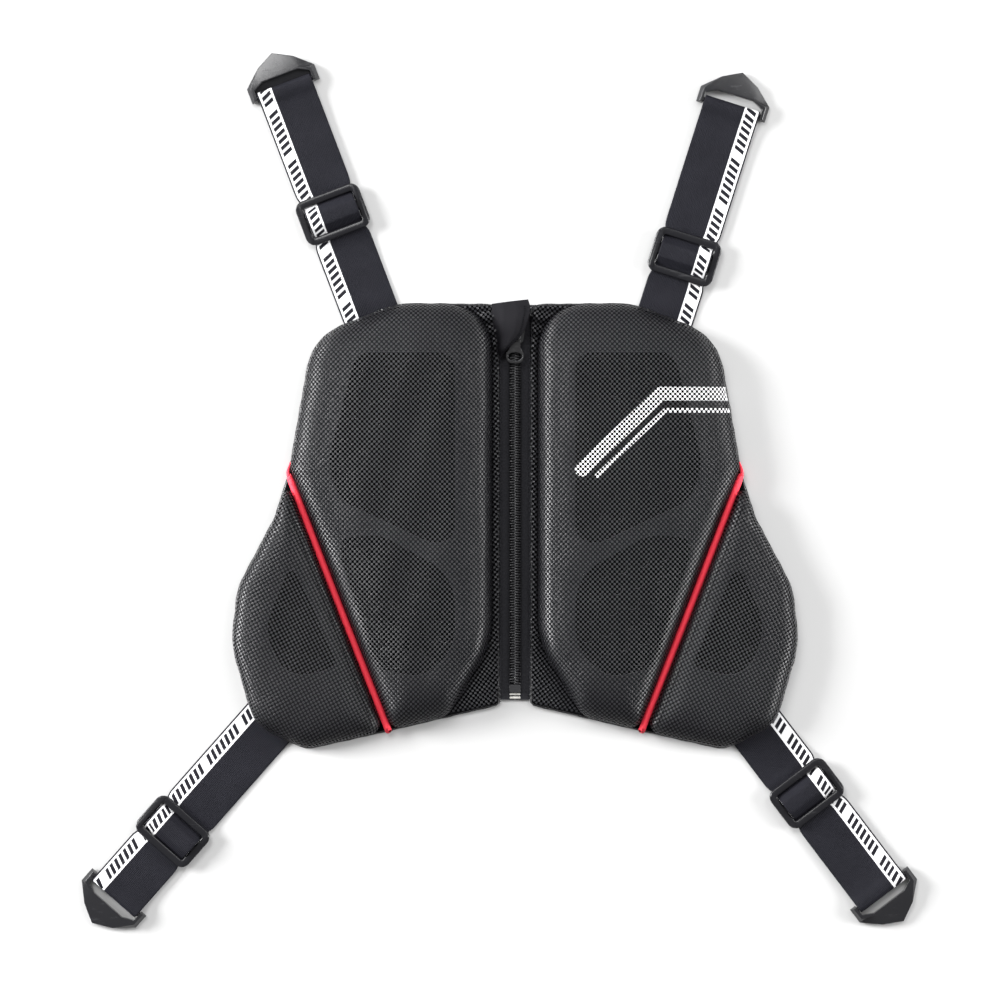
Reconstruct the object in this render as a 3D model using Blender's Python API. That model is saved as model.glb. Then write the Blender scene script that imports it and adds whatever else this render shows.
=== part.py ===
"""Chest protector: two padded halves joined by a zip, held by four elastic straps.

It lies on its back. +Z is up, out of the chest; +Y runs to the shoulders; +X is
the side named r. The origin is on the zip line, on the floor, at mid height.
Sizes are in metres.
"""

from math import atan2, cos, hypot, pi, radians, sin, sqrt, tan

import bmesh
import bpy
from mathutils import Vector

MM = 0.001
CLEARANCE = 0.3 * MM            # between pieces that touch or fit

# Body of the protector
BODY_HALF_WIDTH = 187.5 * MM    # zip line to the widest point of a side wing
BODY_HALF_HEIGHT = 147.5 * MM
CORNER_ROUND = 40 * MM          # the outline tables give shares of this radius
PANEL_LAYER = 1.3 * MM          # the back panel's layer above the zip tape
COVER_WALL = 1.2 * MM
RIM_SET = 1.0 * MM              # cover edge inside the panel's edge
FOOT_SET = 5.5 * MM             # cover edge beside the zip
RIM_HEIGHT = 3.0 * MM           # upright part of a cover's edge
CHEST_RISE = 20 * MM            # crown of the chest cover above the panel
SIDE_RISE = 15 * MM
SHOULDER_POWER = 5.0            # higher is a flatter crown with a tighter shoulder
CHEST_EDGE_SIDES = 36
SIDE_EDGE_SIDES = 26
PANEL_EDGE_SIDES = 56

# Armour
FIELD_DEPTH = 3.2 * MM
HOLE_DIAMETER = 8.6 * MM
HOLE_PITCH = 14.2 * MM
HOLE_EDGE = 1.3 * MM            # solid left between a hole and its field's edge
HOLE_SIDES = 8

# Piping
PIPING_DIAMETER = 4.2 * MM
PIPING_SIDES = 8

# Zip
ZIP_BORDER = 10 * MM            # zip line to the panel's edge
TAPE_THICKNESS = 0.7 * MM
TAPE_TUCK = 6 * MM              # tape held inside the panel's edge
TAPE_GAP = 0.4 * MM             # half the gap between the two tapes
TAPE_PRESS = 0.1 * MM           # taken off the tape's back where the slider runs
CHAIN_WIDTH = 7.6 * MM
CHAIN_HEIGHT = 2.2 * MM
STOP_LENGTH = 5.3 * MM
SLIDER_LIFT = 0.2 * MM          # slider's lower plate above the floor
SLIDER_PLATE = 0.9 * MM
SLIDER_LIP = 2.4 * MM
SLIDER_LENGTH = 16 * MM
POST_WIDTH = 3.0 * MM
POST_LENGTH = 3.0 * MM
POST_SET = 0.5 * MM             # post inside the slider's head end
BRIDGE_WIDTH = 3.2 * MM
BRIDGE_BAR = 1.2 * MM
BRIDGE_FOOT = 1.7 * MM
TAB_LENGTH = 20 * MM
TAB_THICKNESS = 1.2 * MM
TAB_NECK = 7.3 * MM
TAB_RING = 13.2 * MM
TAB_BAR = 1.6 * MM              # cross bar of the tab that turns under the bridge
TAB_RING_PLACE = 0.42           # ring's centre above the tab's free end, share of TAB_RING
TAB_SWING = 15                  # degrees, until the tab meets the flap

# Garage flap
FLAP_WIDTH = 25 * MM
FLAP_LENGTH = 34.5 * MM
FLAP_WALL = 1.0 * MM
FLAP_AIR = 1.2 * MM             # between the slider's bridge and the flap
FLAP_HEAD = 0.52                # flap's top above the slider's middle, share of its length
FLAP_SKEW = 0.08                # lift of the top's right corner, share of its length

# Straps, ladder sliders and end hooks
STRAP_WIDTH = 38 * MM
STRAP_THICKNESS = 1.4 * MM
STRAP_REACH = 160.5 * MM        # body edge to the hook's bar on the longest strap
STRAP_TUCK = 12 * MM            # strap held under the panel
LADDER_LENGTH = 31 * MM
LADDER_THICKNESS = 2.6 * MM
LADDER_END_BAR = 4.6 * MM
LADDER_SIDE_BAR = 2.8 * MM
LADDER_CENTRE_BAR = 4.0 * MM
LADDER_ROUND = 6.5 * MM
LADDER_SLOT_ROUND = 0.5 * MM
STRAP_CLIMB = 8 * MM            # run of the rise from one strap layer to two
STRAP_LEVEL = 1.5 * MM          # flat part between that rise and the ladder slider
STRAP_HUG = 0.41                # corner cut where a strap turns round a bar, share of its offset
HOOK_BAR_RADIUS = 1.6 * MM
HOOK_ARM = 4.3 * MM
HOOK_LENGTH = 24.8 * MM         # bar to the far point
HOOK_THICKNESS = 5.8 * MM
HOOK_SLOT = 1.6 * MM            # between the strap's fold and the plate, at the arms
HOOK_SLOT_RISE = 3.6 * MM       # the slot's extra depth at its middle
HOOK_FOOT_SET = 0.9 * MM        # bevel round the hook's back
HOOK_FOOT_RISE = 1.3 * MM

# Heights of the layers, from the floor up
TAPE_Z = SLIDER_LIFT + SLIDER_PLATE + CLEARANCE
SEAT_TOP = TAPE_Z + TAPE_THICKNESS + CLEARANCE
PANEL_TOP = SEAT_TOP + PANEL_LAYER
COVER_Z = PANEL_TOP + CLEARANCE
CHAIN_Z = TAPE_Z + TAPE_THICKNESS + CLEARANCE
CHAIN_TOP = CHAIN_Z + CHAIN_HEIGHT
SLIDER_TOP = CHAIN_TOP + CLEARANCE + SLIDER_PLATE
TAB_TURN = hypot(TAB_BAR, TAB_THICKNESS) / 2
TAB_Z = SLIDER_TOP + CLEARANCE + TAB_TURN
WINDOW_TOP = TAB_Z + TAB_TURN + CLEARANCE
BRIDGE_TOP = WINDOW_TOP + BRIDGE_BAR

# Places along the zip
CHAIN_FOOT = -0.72 * BODY_HALF_HEIGHT
TAPE_FOOT = -0.79 * BODY_HALF_HEIGHT
TAPE_HEAD = 0.985 * BODY_HALF_HEIGHT
SLIDER_Y = 0.868 * BODY_HALF_HEIGHT
POST_Y = SLIDER_Y + SLIDER_LENGTH / 2 - POST_LENGTH / 2 - POST_SET
CHAIN_HEAD = POST_Y - POST_LENGTH / 2 - CLEARANCE
TAB_Y = SLIDER_Y - 0.15 * SLIDER_LENGTH

# Heights of a strap's two layers, and of what they wrap
LOWER_LAYER = STRAP_THICKNESS / 2
UPPER_LAYER = LOWER_LAYER + STRAP_THICKNESS + CLEARANCE
LADDER_Z = UPPER_LAYER + STRAP_THICKNESS / 2 + CLEARANCE
HOOK_BAR_Z = STRAP_THICKNESS + CLEARANCE + HOOK_BAR_RADIUS
LOOP_RADIUS = HOOK_BAR_RADIUS + CLEARANCE + STRAP_THICKNESS / 2
LADDER_WIDTH = STRAP_WIDTH + 2 * (LADDER_SIDE_BAR + 2 * CLEARANCE)

# Outline corners of a half, anticlockwise from the foot of the zip.
# across: share of the way from the panel's zip edge to the widest point
# along: share of the half height; round: share of CORNER_ROUND
ZIP_FOOT = dict(across=0.0, along=-0.815, round=0.05)
PIPING_FOOT = dict(across=0.415, along=-0.933, round=0.3)
WING_BASE = dict(across=0.727, along=-1.017, round=0.45)
WING_LOW = dict(across=0.920, along=-0.900, round=0.65)
WING_SIDE = dict(across=1.006, along=-0.540, round=1.5)
WING_HIGH = dict(across=0.982, along=-0.285, round=1.1)
WING_ROOT = dict(across=0.842, along=0.034, round=1.2)
WAIST = dict(across=0.7915, along=0.230, round=0.5)
SHOULDER = dict(across=0.7014, along=0.844, round=0.95)
COLLAR = dict(across=0.383, along=0.995, round=1.5)
ZIP_HEAD = dict(across=0.0, along=0.990, round=0.18)
LOWER_BEND = dict(across=0.0, along=-0.542, round=1.5)
BOTTOM_BEND = dict(across=0.158, along=-0.860, round=0.35)

PANEL_CORNERS = [ZIP_FOOT, PIPING_FOOT, WING_BASE, WING_LOW, WING_SIDE, WING_HIGH,
                 WING_ROOT, WAIST, SHOULDER, COLLAR, ZIP_HEAD]

# A cover's corners, with the margin that the edge after each corner keeps
PIPING_SET = PIPING_DIAMETER / 2 + CLEARANCE
CHEST_CORNERS = [
    dict(BOTTOM_BEND, margin=RIM_SET),
    dict(PIPING_FOOT, margin=PIPING_SET, round=0.2),
    dict(WAIST, margin=RIM_SET, round=0.2),
    dict(SHOULDER, margin=RIM_SET),
    dict(COLLAR, margin=RIM_SET),
    dict(ZIP_HEAD, margin=FOOT_SET, round=1.0),
    dict(LOWER_BEND, margin=FOOT_SET),
]
SIDE_CORNERS = [
    dict(PIPING_FOOT, margin=RIM_SET, round=0.2),
    dict(WING_BASE, margin=RIM_SET),
    dict(WING_LOW, margin=RIM_SET),
    dict(WING_SIDE, margin=RIM_SET),
    dict(WING_HIGH, margin=RIM_SET),
    dict(WING_ROOT, margin=RIM_SET),
    dict(WAIST, margin=PIPING_SET, round=0.08),
]
CHEST_SPINE = [dict(across=0.2535, along=-0.508), dict(across=0.293, along=0.576)]
SIDE_SPINE = [dict(across=0.732, along=-0.712), dict(across=0.800, along=-0.237)]

# Rings of a crowned cover: share of the reach from the spine to the edge
RING_REACH = [1.0, 0.965, 0.885, 0.74, 0.46]

# Sunk fields of the armour, anticlockwise; rows: tilt of the rows of holes, degrees
UPPER_FIELD = [
    dict(across=0.168, along=-0.055, round=0.25),
    dict(across=0.240, along=-0.095, round=0.5),
    dict(across=0.600, along=0.110, round=0.5),
    dict(across=0.640, along=0.280, round=0.6),
    dict(across=0.535, along=0.770, round=0.25),
    dict(across=0.168, along=0.770, round=0.25),
]
LOWER_FIELD = [
    dict(across=0.168, along=-0.560, round=0.8),
    dict(across=0.290, along=-0.690, round=0.5),
    dict(across=0.470, along=-0.640, round=0.25),
    dict(across=0.610, along=-0.060, round=0.2),
    dict(across=0.440, along=-0.050, round=0.6),
    dict(across=0.168, along=-0.230, round=0.8),
]
SIDE_FIELD = [
    dict(across=0.600, along=-0.640, round=0.15),
    dict(across=0.800, along=-0.700, round=0.5),
    dict(across=0.880, along=-0.470, round=0.8),
    dict(across=0.775, along=-0.160, round=0.12),
]
CHEST_FIELDS = [
    dict(corners=UPPER_FIELD, rows=-9, bare=(0.20, 0.50)),
    dict(corners=LOWER_FIELD, rows=17, bare=None),
]
SIDE_FIELDS = [dict(corners=SIDE_FIELD, rows=17, bare=None)]

# Rows of the garage flap, from its top down
# down: share of its length; left, right: shares of its width from the zip line;
# lift: share of its height over the slider
FLAP_ROWS = [
    dict(down=0.00, left=-0.61, right=0.35, lift=0.55),
    dict(down=0.16, left=-0.60, right=0.40, lift=0.80),
    dict(down=0.36, left=-0.57, right=0.34, lift=1.00),
    dict(down=0.54, left=-0.53, right=0.25, lift=1.00),
    dict(down=0.67, left=-0.50, right=0.11, lift=1.00),
    dict(down=0.86, left=-0.46, right=-0.18, lift=1.05),
    dict(down=1.00, left=-0.43, right=-0.37, lift=0.50),
]
FLAP_ARCH = [(0.0, 0.0), (0.14, 0.42), (0.34, 0.95), (0.62, 1.06), (0.85, 1.02), (1.0, 0.92)]

# Straps: root across and along as above; heading in degrees from +X;
# ladder and hook: shares of STRAP_REACH from the body's edge
STRAPS = {
    "ul": dict(side=-1, across=0.483, along=0.944, heading=110.8, ladder=0.440, hook=1.000),
    "ur": dict(side=1, across=0.506, along=0.933, heading=72.4, ladder=0.259, hook=0.904),
    "ll": dict(side=-1, across=0.860, along=-0.887, heading=228.6, ladder=0.606, hook=0.958),
    "lr": dict(side=1, across=0.850, along=-0.919, heading=307.2, ladder=0.336, hook=0.846),
}

# Half of an end hook's outline, from the heel of an arm to the far point
# along, across: shares of its length and half width; edge: height of the upper edge
# as a share of the thickness; ridge_along, ridge_across: the flat top's own corner
HOOK_ROWS = [
    dict(along=-0.110, across=1.00, edge=0.50, ridge_along=-0.070, ridge_across=0.91),
    dict(along=0.320, across=1.00, edge=0.42, ridge_along=0.280, ridge_across=0.90),
    dict(along=0.730, across=0.52, edge=0.70, ridge_along=0.385, ridge_across=0.55),
    dict(along=1.000, across=0.00, edge=0.46, ridge_along=0.385, ridge_across=0.00),
]

MESH_BLACK = dict(color=(0.020, 0.020, 0.021), roughness=0.75, metallic=0.0)
FOAM_BLACK = dict(color=(0.030, 0.030, 0.032), roughness=0.60, metallic=0.0)
CLOTH_BLACK = dict(color=(0.022, 0.022, 0.024), roughness=0.80, metallic=0.0)
PIPING_RED = dict(color=(0.900, 0.052, 0.090), roughness=0.55, metallic=0.0)
WEBBING_BLACK = dict(color=(0.018, 0.018, 0.019), roughness=0.85, metallic=0.0)
PLASTIC_BLACK = dict(color=(0.022, 0.022, 0.023), roughness=0.32, metallic=0.0)
METAL_BLACK = dict(color=(0.030, 0.030, 0.031), roughness=0.35, metallic=0.8)


def clear_scene():
    for obj in list(bpy.data.objects):
        bpy.data.objects.remove(obj, do_unlink=True)


# Points and outlines

def place(row):
    """XY of a table row on the side at +X."""
    x = ZIP_BORDER + row["across"] * (BODY_HALF_WIDTH - ZIP_BORDER)
    return Vector((x, row["along"] * BODY_HALF_HEIGHT))


def mirrored(points, side):
    if side > 0:
        return points
    return [Vector((-p.x, p.y)) for p in reversed(points)]


def line_crossing(a, u, b, v):
    """Where the line through a along u meets the line through b along v."""
    t = (b - a).cross(v) / u.cross(v)
    return a + u * t


def set_in(points, margins):
    """Corners of the outline whose edges are moved inwards by their margins."""
    count = len(points)
    moved = []
    for i in range(count):
        before = (points[i] - points[i - 1]).normalized()
        after = (points[(i + 1) % count] - points[i]).normalized()
        start = points[i] + Vector((-before.y, before.x)) * margins[i - 1]
        end = points[i] + Vector((-after.y, after.x)) * margins[i]
        moved.append(line_crossing(start, before, end, after))
    return moved


def rounded(points, radii, steps=8):
    """Outline with an arc at each corner, no longer than its edges allow."""
    count = len(points)
    outline = []
    for i in range(count):
        corner = points[i]
        back = points[i - 1] - corner
        ahead = points[(i + 1) % count] - corner
        half = back.angle(ahead) / 2
        reach = min(radii[i] / tan(half), 0.48 * min(back.length, ahead.length))
        radius = reach * tan(half)
        start = corner + back.normalized() * reach
        end = corner + ahead.normalized() * reach
        centre = corner + (back.normalized() + ahead.normalized()).normalized() * radius / sin(half)
        first = atan2(start.y - centre.y, start.x - centre.x)
        sweep = atan2(end.y - centre.y, end.x - centre.x) - first
        sweep = (sweep + pi) % (2 * pi) - pi
        for step in range(steps + 1):
            angle = first + sweep * step / steps
            outline.append(centre + Vector((cos(angle), sin(angle))) * radius)
    return outline


def resampled(outline, count):
    """The outline as evenly spaced points."""
    closed = outline + [outline[0]]
    lengths = [0.0]
    for a, b in zip(closed, closed[1:]):
        lengths.append(lengths[-1] + (b - a).length)
    points = []
    j = 0
    for i in range(count):
        target = lengths[-1] * i / count
        while lengths[j + 1] < target:
            j += 1
        share = (target - lengths[j]) / (lengths[j + 1] - lengths[j])
        points.append(closed[j].lerp(closed[j + 1], share))
    return points


def table_outline(corners, count, side=1):
    points = [place(row) for row in corners]
    margins = [row.get("margin", 0.0) for row in corners]
    radii = [row["round"] * CORNER_ROUND for row in corners]
    return mirrored(resampled(rounded(set_in(points, margins), radii), count), side)


def shrunk(points, distance):
    """Points moved inwards along their normals."""
    count = len(points)
    moved = []
    for i in range(count):
        tangent = (points[(i + 1) % count] - points[i - 1]).normalized()
        moved.append(points[i] + Vector((-tangent.y, tangent.x)) * distance)
    return moved


def towards(points, spine, reach):
    """Points drawn towards the spine until only the given share of the reach is left."""
    a, b = spine
    axis = b - a
    drawn = []
    for p in points:
        share = min(1.0, max(0.0, (p - a).dot(axis) / axis.length_squared))
        foot = a + axis * share
        drawn.append(foot + (p - foot) * reach)
    return drawn


def inside(point, outline):
    hit = False
    for a, b in zip(outline, outline[1:] + outline[:1]):
        if (a.y > point.y) != (b.y > point.y):
            if point.x < a.x + (b.x - a.x) * (point.y - a.y) / (b.y - a.y):
                hit = not hit
    return hit


def edge_distance(point, outline):
    nearest = 1.0
    for a, b in zip(outline, outline[1:] + outline[:1]):
        edge = b - a
        share = min(1.0, max(0.0, (point - a).dot(edge) / edge.length_squared))
        nearest = min(nearest, (point - a - edge * share).length)
    return nearest


# Meshes and objects

def material(name, look):
    mat = bpy.data.materials.new(name)
    mat.use_nodes = True
    shader = mat.node_tree.nodes["Principled BSDF"]
    shader.inputs["Base Color"].default_value = (*look["color"], 1.0)
    shader.inputs["Roughness"].default_value = look["roughness"]
    shader.inputs["Metallic"].default_value = look["metallic"]
    return mat


def finish_object(name, bm, look, smooth_angle=None):
    bmesh.ops.recalc_face_normals(bm, faces=bm.faces)
    mesh = bpy.data.meshes.new(name)
    bm.to_mesh(mesh)
    bm.free()
    obj = bpy.data.objects.new(name, mesh)
    bpy.context.scene.collection.objects.link(obj)
    if look is None:
        obj.hide_render = True
        obj.display_type = "WIRE"
    else:
        mesh.materials.append(material(name, look))
    if smooth_angle is not None:
        mesh.shade_smooth()
        mesh.set_sharp_from_angle(angle=radians(smooth_angle))
    return obj


def add_loft(bm, loops):
    """Skin between loops of equally many points, capped at both ends."""
    rings = [[bm.verts.new(p) for p in loop] for loop in loops]
    for low, high in zip(rings, rings[1:]):
        count = len(low)
        for i in range(count):
            j = (i + 1) % count
            bm.faces.new((low[i], low[j], high[j], high[i]))
    bm.faces.new(list(reversed(rings[0])))
    bm.faces.new(rings[-1])


def flat_loop(points, z):
    return [Vector((p.x, p.y, z)) for p in points]


def add_prism(bm, points, low, high):
    add_loft(bm, [flat_loop(points, low), flat_loop(points, high)])


def box_points(x0, x1, y0, y1):
    return [Vector((x0, y0)), Vector((x1, y0)), Vector((x1, y1)), Vector((x0, y1))]


def circle_points(centre, radius, sides, turn=0.0):
    angles = [turn + 2 * pi * i / sides for i in range(sides)]
    return [centre + Vector((cos(a), sin(a))) * radius for a in angles]


def combine(obj, other, operation):
    change = obj.modifiers.new(other.name, "BOOLEAN")
    change.operation = operation
    change.solver = "EXACT"
    change.object = other


# Pads: cover and armour

def crown_height(reach, rise):
    return RIM_HEIGHT + (rise - RIM_HEIGHT) * sqrt(1 - reach ** SHOULDER_POWER)


def crown_loops(edge, spine, rise, drop):
    """Loops from the foot of a crowned pad to its top; drop lowers all but the foot."""
    loops = [flat_loop(edge, COVER_Z)]
    for reach in RING_REACH:
        z = COVER_Z + crown_height(reach, rise) - drop
        loops.append(flat_loop(towards(edge, spine, reach), z))
    return loops


def pad_spine(rows, side):
    return [Vector((side * place(row).x, place(row).y)) for row in rows]


def make_cover(name, corners, spine_rows, rise, count, side):
    edge = table_outline(corners, count, side)
    spine = pad_spine(spine_rows, side)
    outer = crown_loops(edge, spine, rise, 0.0)
    inner = crown_loops(shrunk(edge, COVER_WALL), spine, rise, COVER_WALL)
    bm = bmesh.new()
    add_loft(bm, list(reversed(inner)) + outer)
    return finish_object(name, bm, MESH_BLACK, 50)


def hole_centres(field, outline):
    """Vent holes on a slanted lattice, kept inside the field and off its bare band."""
    turn = radians(field["rows"])
    row_step = Vector((cos(turn), sin(turn))) * HOLE_PITCH
    lift_step = Vector((cos(turn + pi / 3), sin(turn + pi / 3))) * HOLE_PITCH
    middle = sum(outline, Vector((0.0, 0.0))) / len(outline)
    keep_off = HOLE_DIAMETER / 2 + HOLE_EDGE
    centres = []
    for i in range(-9, 10):
        for j in range(-9, 10):
            centre = middle + row_step * i + lift_step * j
            if not inside(centre, outline) or edge_distance(centre, outline) < keep_off:
                continue
            if field["bare"] and field["bare"][0] < centre.y / BODY_HALF_HEIGHT < field["bare"][1]:
                continue
            centres.append(centre)
    return centres


def make_armour(name, corners, spine_rows, fields, rise, count, side):
    edge = shrunk(table_outline(corners, count, side), COVER_WALL + CLEARANCE)
    bm = bmesh.new()
    add_loft(bm, crown_loops(edge, pad_spine(spine_rows, side), rise, COVER_WALL + CLEARANCE))
    armour = finish_object(name, bm, FOAM_BLACK, 50)
    top = COVER_Z + rise - COVER_WALL - CLEARANCE
    recess = bmesh.new()
    holes = bmesh.new()
    for field in fields:
        outline = table_outline(field["corners"], 20)
        add_prism(recess, mirrored(outline, side), top - FIELD_DEPTH, top + rise)
        for centre in hole_centres(field, outline):
            ring = circle_points(centre, HOLE_DIAMETER / 2, HOLE_SIDES, pi / HOLE_SIDES)
            add_prism(holes, mirrored(ring, side), 0.0, top + rise)
    combine(armour, finish_object(name + "_recess", recess, None), "DIFFERENCE")
    combine(armour, finish_object(name + "_holes", holes, None), "DIFFERENCE")
    return armour


# Back panel and piping

def strap_frame(strap):
    """Root point of a strap, its direction and the direction across it."""
    root = place(strap)
    root = Vector((strap["side"] * root.x, root.y))
    angle = radians(strap["heading"])
    return root, Vector((cos(angle), sin(angle))), Vector((-sin(angle), cos(angle)))


def make_panel(name, side):
    bm = bmesh.new()
    add_prism(bm, table_outline(PANEL_CORNERS, PANEL_EDGE_SIDES, side), 0.0, PANEL_TOP)
    panel = finish_object(name, bm, MESH_BLACK, 50)
    cuts = bmesh.new()
    seat = box_points(0.0, ZIP_BORDER + TAPE_TUCK + CLEARANCE, -BODY_HALF_HEIGHT, BODY_HALF_HEIGHT)
    add_prism(cuts, mirrored(seat, side), -SEAT_TOP, SEAT_TOP)
    for strap in STRAPS.values():
        if strap["side"] == side:
            root, along, across = strap_frame(strap)
            half = across * (STRAP_WIDTH / 2 + CLEARANCE)
            start = root - along * (STRAP_TUCK + CLEARANCE)
            end = root + along * STRAP_TUCK
            seat = [start - half, end - half, end + half, start + half]
            add_prism(cuts, seat, -STRAP_THICKNESS, STRAP_THICKNESS + CLEARANCE)
    combine(panel, finish_object(name + "_cuts", cuts, None), "DIFFERENCE")
    return panel


def make_piping(name, side):
    foot = place(PIPING_FOOT)
    head = place(WAIST)
    radius = PIPING_DIAMETER / 2
    middle = COVER_Z + radius
    ahead = (head - foot).normalized()
    across = Vector((-ahead.y, ahead.x))
    stations = 9
    loops = []
    for i in range(stations):
        share = i / (stations - 1)
        centre = foot.lerp(head, share)
        loop = []
        for k in range(PIPING_SIDES):
            angle = 2 * pi * (k + 0.5) / PIPING_SIDES
            p = centre + across * radius * cos(angle)
            loop.append(Vector((side * p.x, p.y, middle + radius * sin(angle))))
        loops.append(loop)
    bm = bmesh.new()
    add_loft(bm, loops)
    return finish_object(name, bm, PIPING_RED, 50)


# Zip

def make_tape(name, side):
    """Tape with its inner edge stepped back beside the slider's post."""
    outer = ZIP_BORDER + TAPE_TUCK
    step_back = POST_WIDTH / 2 + CLEARANCE
    points = [
        Vector((TAPE_GAP, TAPE_FOOT)),
        Vector((outer, TAPE_FOOT)),
        Vector((outer, TAPE_HEAD)),
        Vector((step_back, TAPE_HEAD)),
        Vector((step_back, CHAIN_HEAD)),
        Vector((TAPE_GAP, CHAIN_HEAD - step_back)),
    ]
    bm = bmesh.new()
    add_prism(bm, mirrored(points, side), TAPE_Z, TAPE_Z + TAPE_THICKNESS)
    tape = finish_object(name, bm, CLOTH_BLACK)
    pressed = bmesh.new()
    run = box_points(0.0, outer + CLEARANCE, SLIDER_Y - SLIDER_LENGTH / 2 - CLEARANCE, BODY_HALF_HEIGHT)
    add_prism(pressed, mirrored(run, side), -TAPE_Z, TAPE_Z + TAPE_PRESS)
    combine(tape, finish_object(name + "_pressed", pressed, None), "DIFFERENCE")
    return tape


def make_chain(name, side):
    """One half of the coil: a long rib with rounded shoulders."""
    inner = TAPE_GAP / 2
    outer = CHAIN_WIDTH / 2
    bevel = 0.35 * CHAIN_HEIGHT
    section = [
        (inner, CHAIN_Z),
        (outer, CHAIN_Z),
        (outer, CHAIN_TOP - bevel),
        (outer - bevel, CHAIN_TOP),
        (inner + bevel, CHAIN_TOP),
        (inner, CHAIN_TOP - bevel),
    ]
    loops = [[Vector((side * x, y, z)) for x, z in section] for y in (CHAIN_FOOT, CHAIN_HEAD)]
    bm = bmesh.new()
    add_loft(bm, loops)
    return finish_object(name, bm, PLASTIC_BLACK)


def make_bottom_stop():
    half = CHAIN_WIDTH / 2
    high = CHAIN_FOOT - CLEARANCE
    points = box_points(-half, half, high - STOP_LENGTH, high)
    points = rounded(points, [0.15 * CHAIN_WIDTH] * 4, 2)
    bm = bmesh.new()
    add_prism(bm, points, CHAIN_Z, CHAIN_TOP)
    return finish_object("zip_bottom_stop", bm, PLASTIC_BLACK)


def slider_outline():
    half = CHAIN_WIDTH / 2 + CLEARANCE + SLIDER_LIP
    low = SLIDER_Y - SLIDER_LENGTH / 2
    high = SLIDER_Y + SLIDER_LENGTH / 2
    corners = [Vector((-0.8 * half, low)), Vector((0.8 * half, low)), Vector((half, SLIDER_Y)),
               Vector((half, high)), Vector((-half, high)), Vector((-half, SLIDER_Y))]
    return rounded(corners, [0.3 * half, 0.3 * half, 0.3 * half, 0.8 * half, 0.8 * half, 0.3 * half], 3)


def make_slider():
    """Upper body with a channel for the coil, lower plate, post between them and bridge on top."""
    outline = slider_outline()
    bm = bmesh.new()
    add_prism(bm, outline, CHAIN_Z, SLIDER_TOP)
    slider = finish_object("zip_slider", bm, METAL_BLACK)

    channel = bmesh.new()
    reach = CHAIN_WIDTH / 2 + CLEARANCE
    add_prism(channel, box_points(-reach, reach, SLIDER_Y - SLIDER_LENGTH, SLIDER_Y + SLIDER_LENGTH),
              0.0, CHAIN_TOP + CLEARANCE)
    combine(slider, finish_object("slider_channel", channel, None), "DIFFERENCE")

    lower = bmesh.new()
    add_prism(lower, outline, SLIDER_LIFT, SLIDER_LIFT + SLIDER_PLATE)
    combine(slider, finish_object("slider_lower_plate", lower, None), "UNION")

    post = bmesh.new()
    half = POST_WIDTH / 2
    add_prism(post, box_points(-half, half, POST_Y - POST_LENGTH / 2, POST_Y + POST_LENGTH / 2),
              SLIDER_LIFT + SLIDER_PLATE / 2, SLIDER_TOP - SLIDER_PLATE / 2)
    combine(slider, finish_object("slider_post", post, None), "UNION")

    bridge = bmesh.new()
    half = BRIDGE_WIDTH / 2
    low = TAB_Y - TAB_TURN - CLEARANCE - BRIDGE_FOOT
    high = SLIDER_Y + 0.42 * SLIDER_LENGTH
    window_low = low + BRIDGE_FOOT
    window_high = high - BRIDGE_FOOT
    base = SLIDER_TOP - SLIDER_PLATE / 2
    bevel = 0.4 * BRIDGE_BAR
    profile = [(low, base), (window_low, base), (window_low, WINDOW_TOP), (window_high, WINDOW_TOP),
               (window_high, base), (high, base), (high, BRIDGE_TOP - bevel),
               (high - bevel, BRIDGE_TOP), (low + bevel, BRIDGE_TOP), (low, BRIDGE_TOP - bevel)]
    add_loft(bridge, [[Vector((x, y, z)) for y, z in profile] for x in (-half, half)])
    combine(slider, finish_object("slider_bridge", bridge, None), "UNION")
    return slider


def make_pull_tab():
    """Flat tab that turns on its cross bar, with a round finger hole at its free end."""
    head = TAB_Y + TAB_BAR / 2
    foot = head - TAB_LENGTH
    neck = TAB_NECK / 2
    ring = TAB_RING / 2
    ring_y = foot + TAB_RING_PLACE * TAB_RING
    corners = [Vector((-0.7 * ring, foot)), Vector((0.7 * ring, foot)), Vector((ring, ring_y)),
               Vector((neck, ring_y + 0.75 * ring)), Vector((neck, head)), Vector((-neck, head)),
               Vector((-neck, ring_y + 0.75 * ring)), Vector((-ring, ring_y))]
    radii = [0.6 * ring, 0.6 * ring, 0.7 * ring, 0.6 * ring, 0.15 * neck, 0.15 * neck, 0.6 * ring,
             0.7 * ring]
    low = TAB_Z - TAB_THICKNESS / 2
    high = TAB_Z + TAB_THICKNESS / 2
    bm = bmesh.new()
    add_prism(bm, rounded(corners, radii, 3), low, high)
    tab = finish_object("pull_tab", bm, METAL_BLACK)

    cuts = bmesh.new()
    window = BRIDGE_WIDTH / 2 + CLEARANCE
    window_high = TAB_Y - TAB_BAR / 2
    window_low = TAB_Y - (TAB_TURN + BRIDGE_FOOT + 3 * CLEARANCE) / cos(radians(TAB_SWING)) - TAB_THICKNESS
    add_prism(cuts, box_points(-window, window, window_low, window_high), 0.0, 2 * TAB_Z)
    hole = [Vector((x, 0.84 * (y - ring_y) + ring_y)) for x, y in
            circle_points(Vector((0.0, ring_y)), 0.58 * ring, 14)]
    add_prism(cuts, hole, 0.0, 2 * TAB_Z)
    combine(tab, finish_object("tab_cuts", cuts, None), "DIFFERENCE")
    return tab


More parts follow.
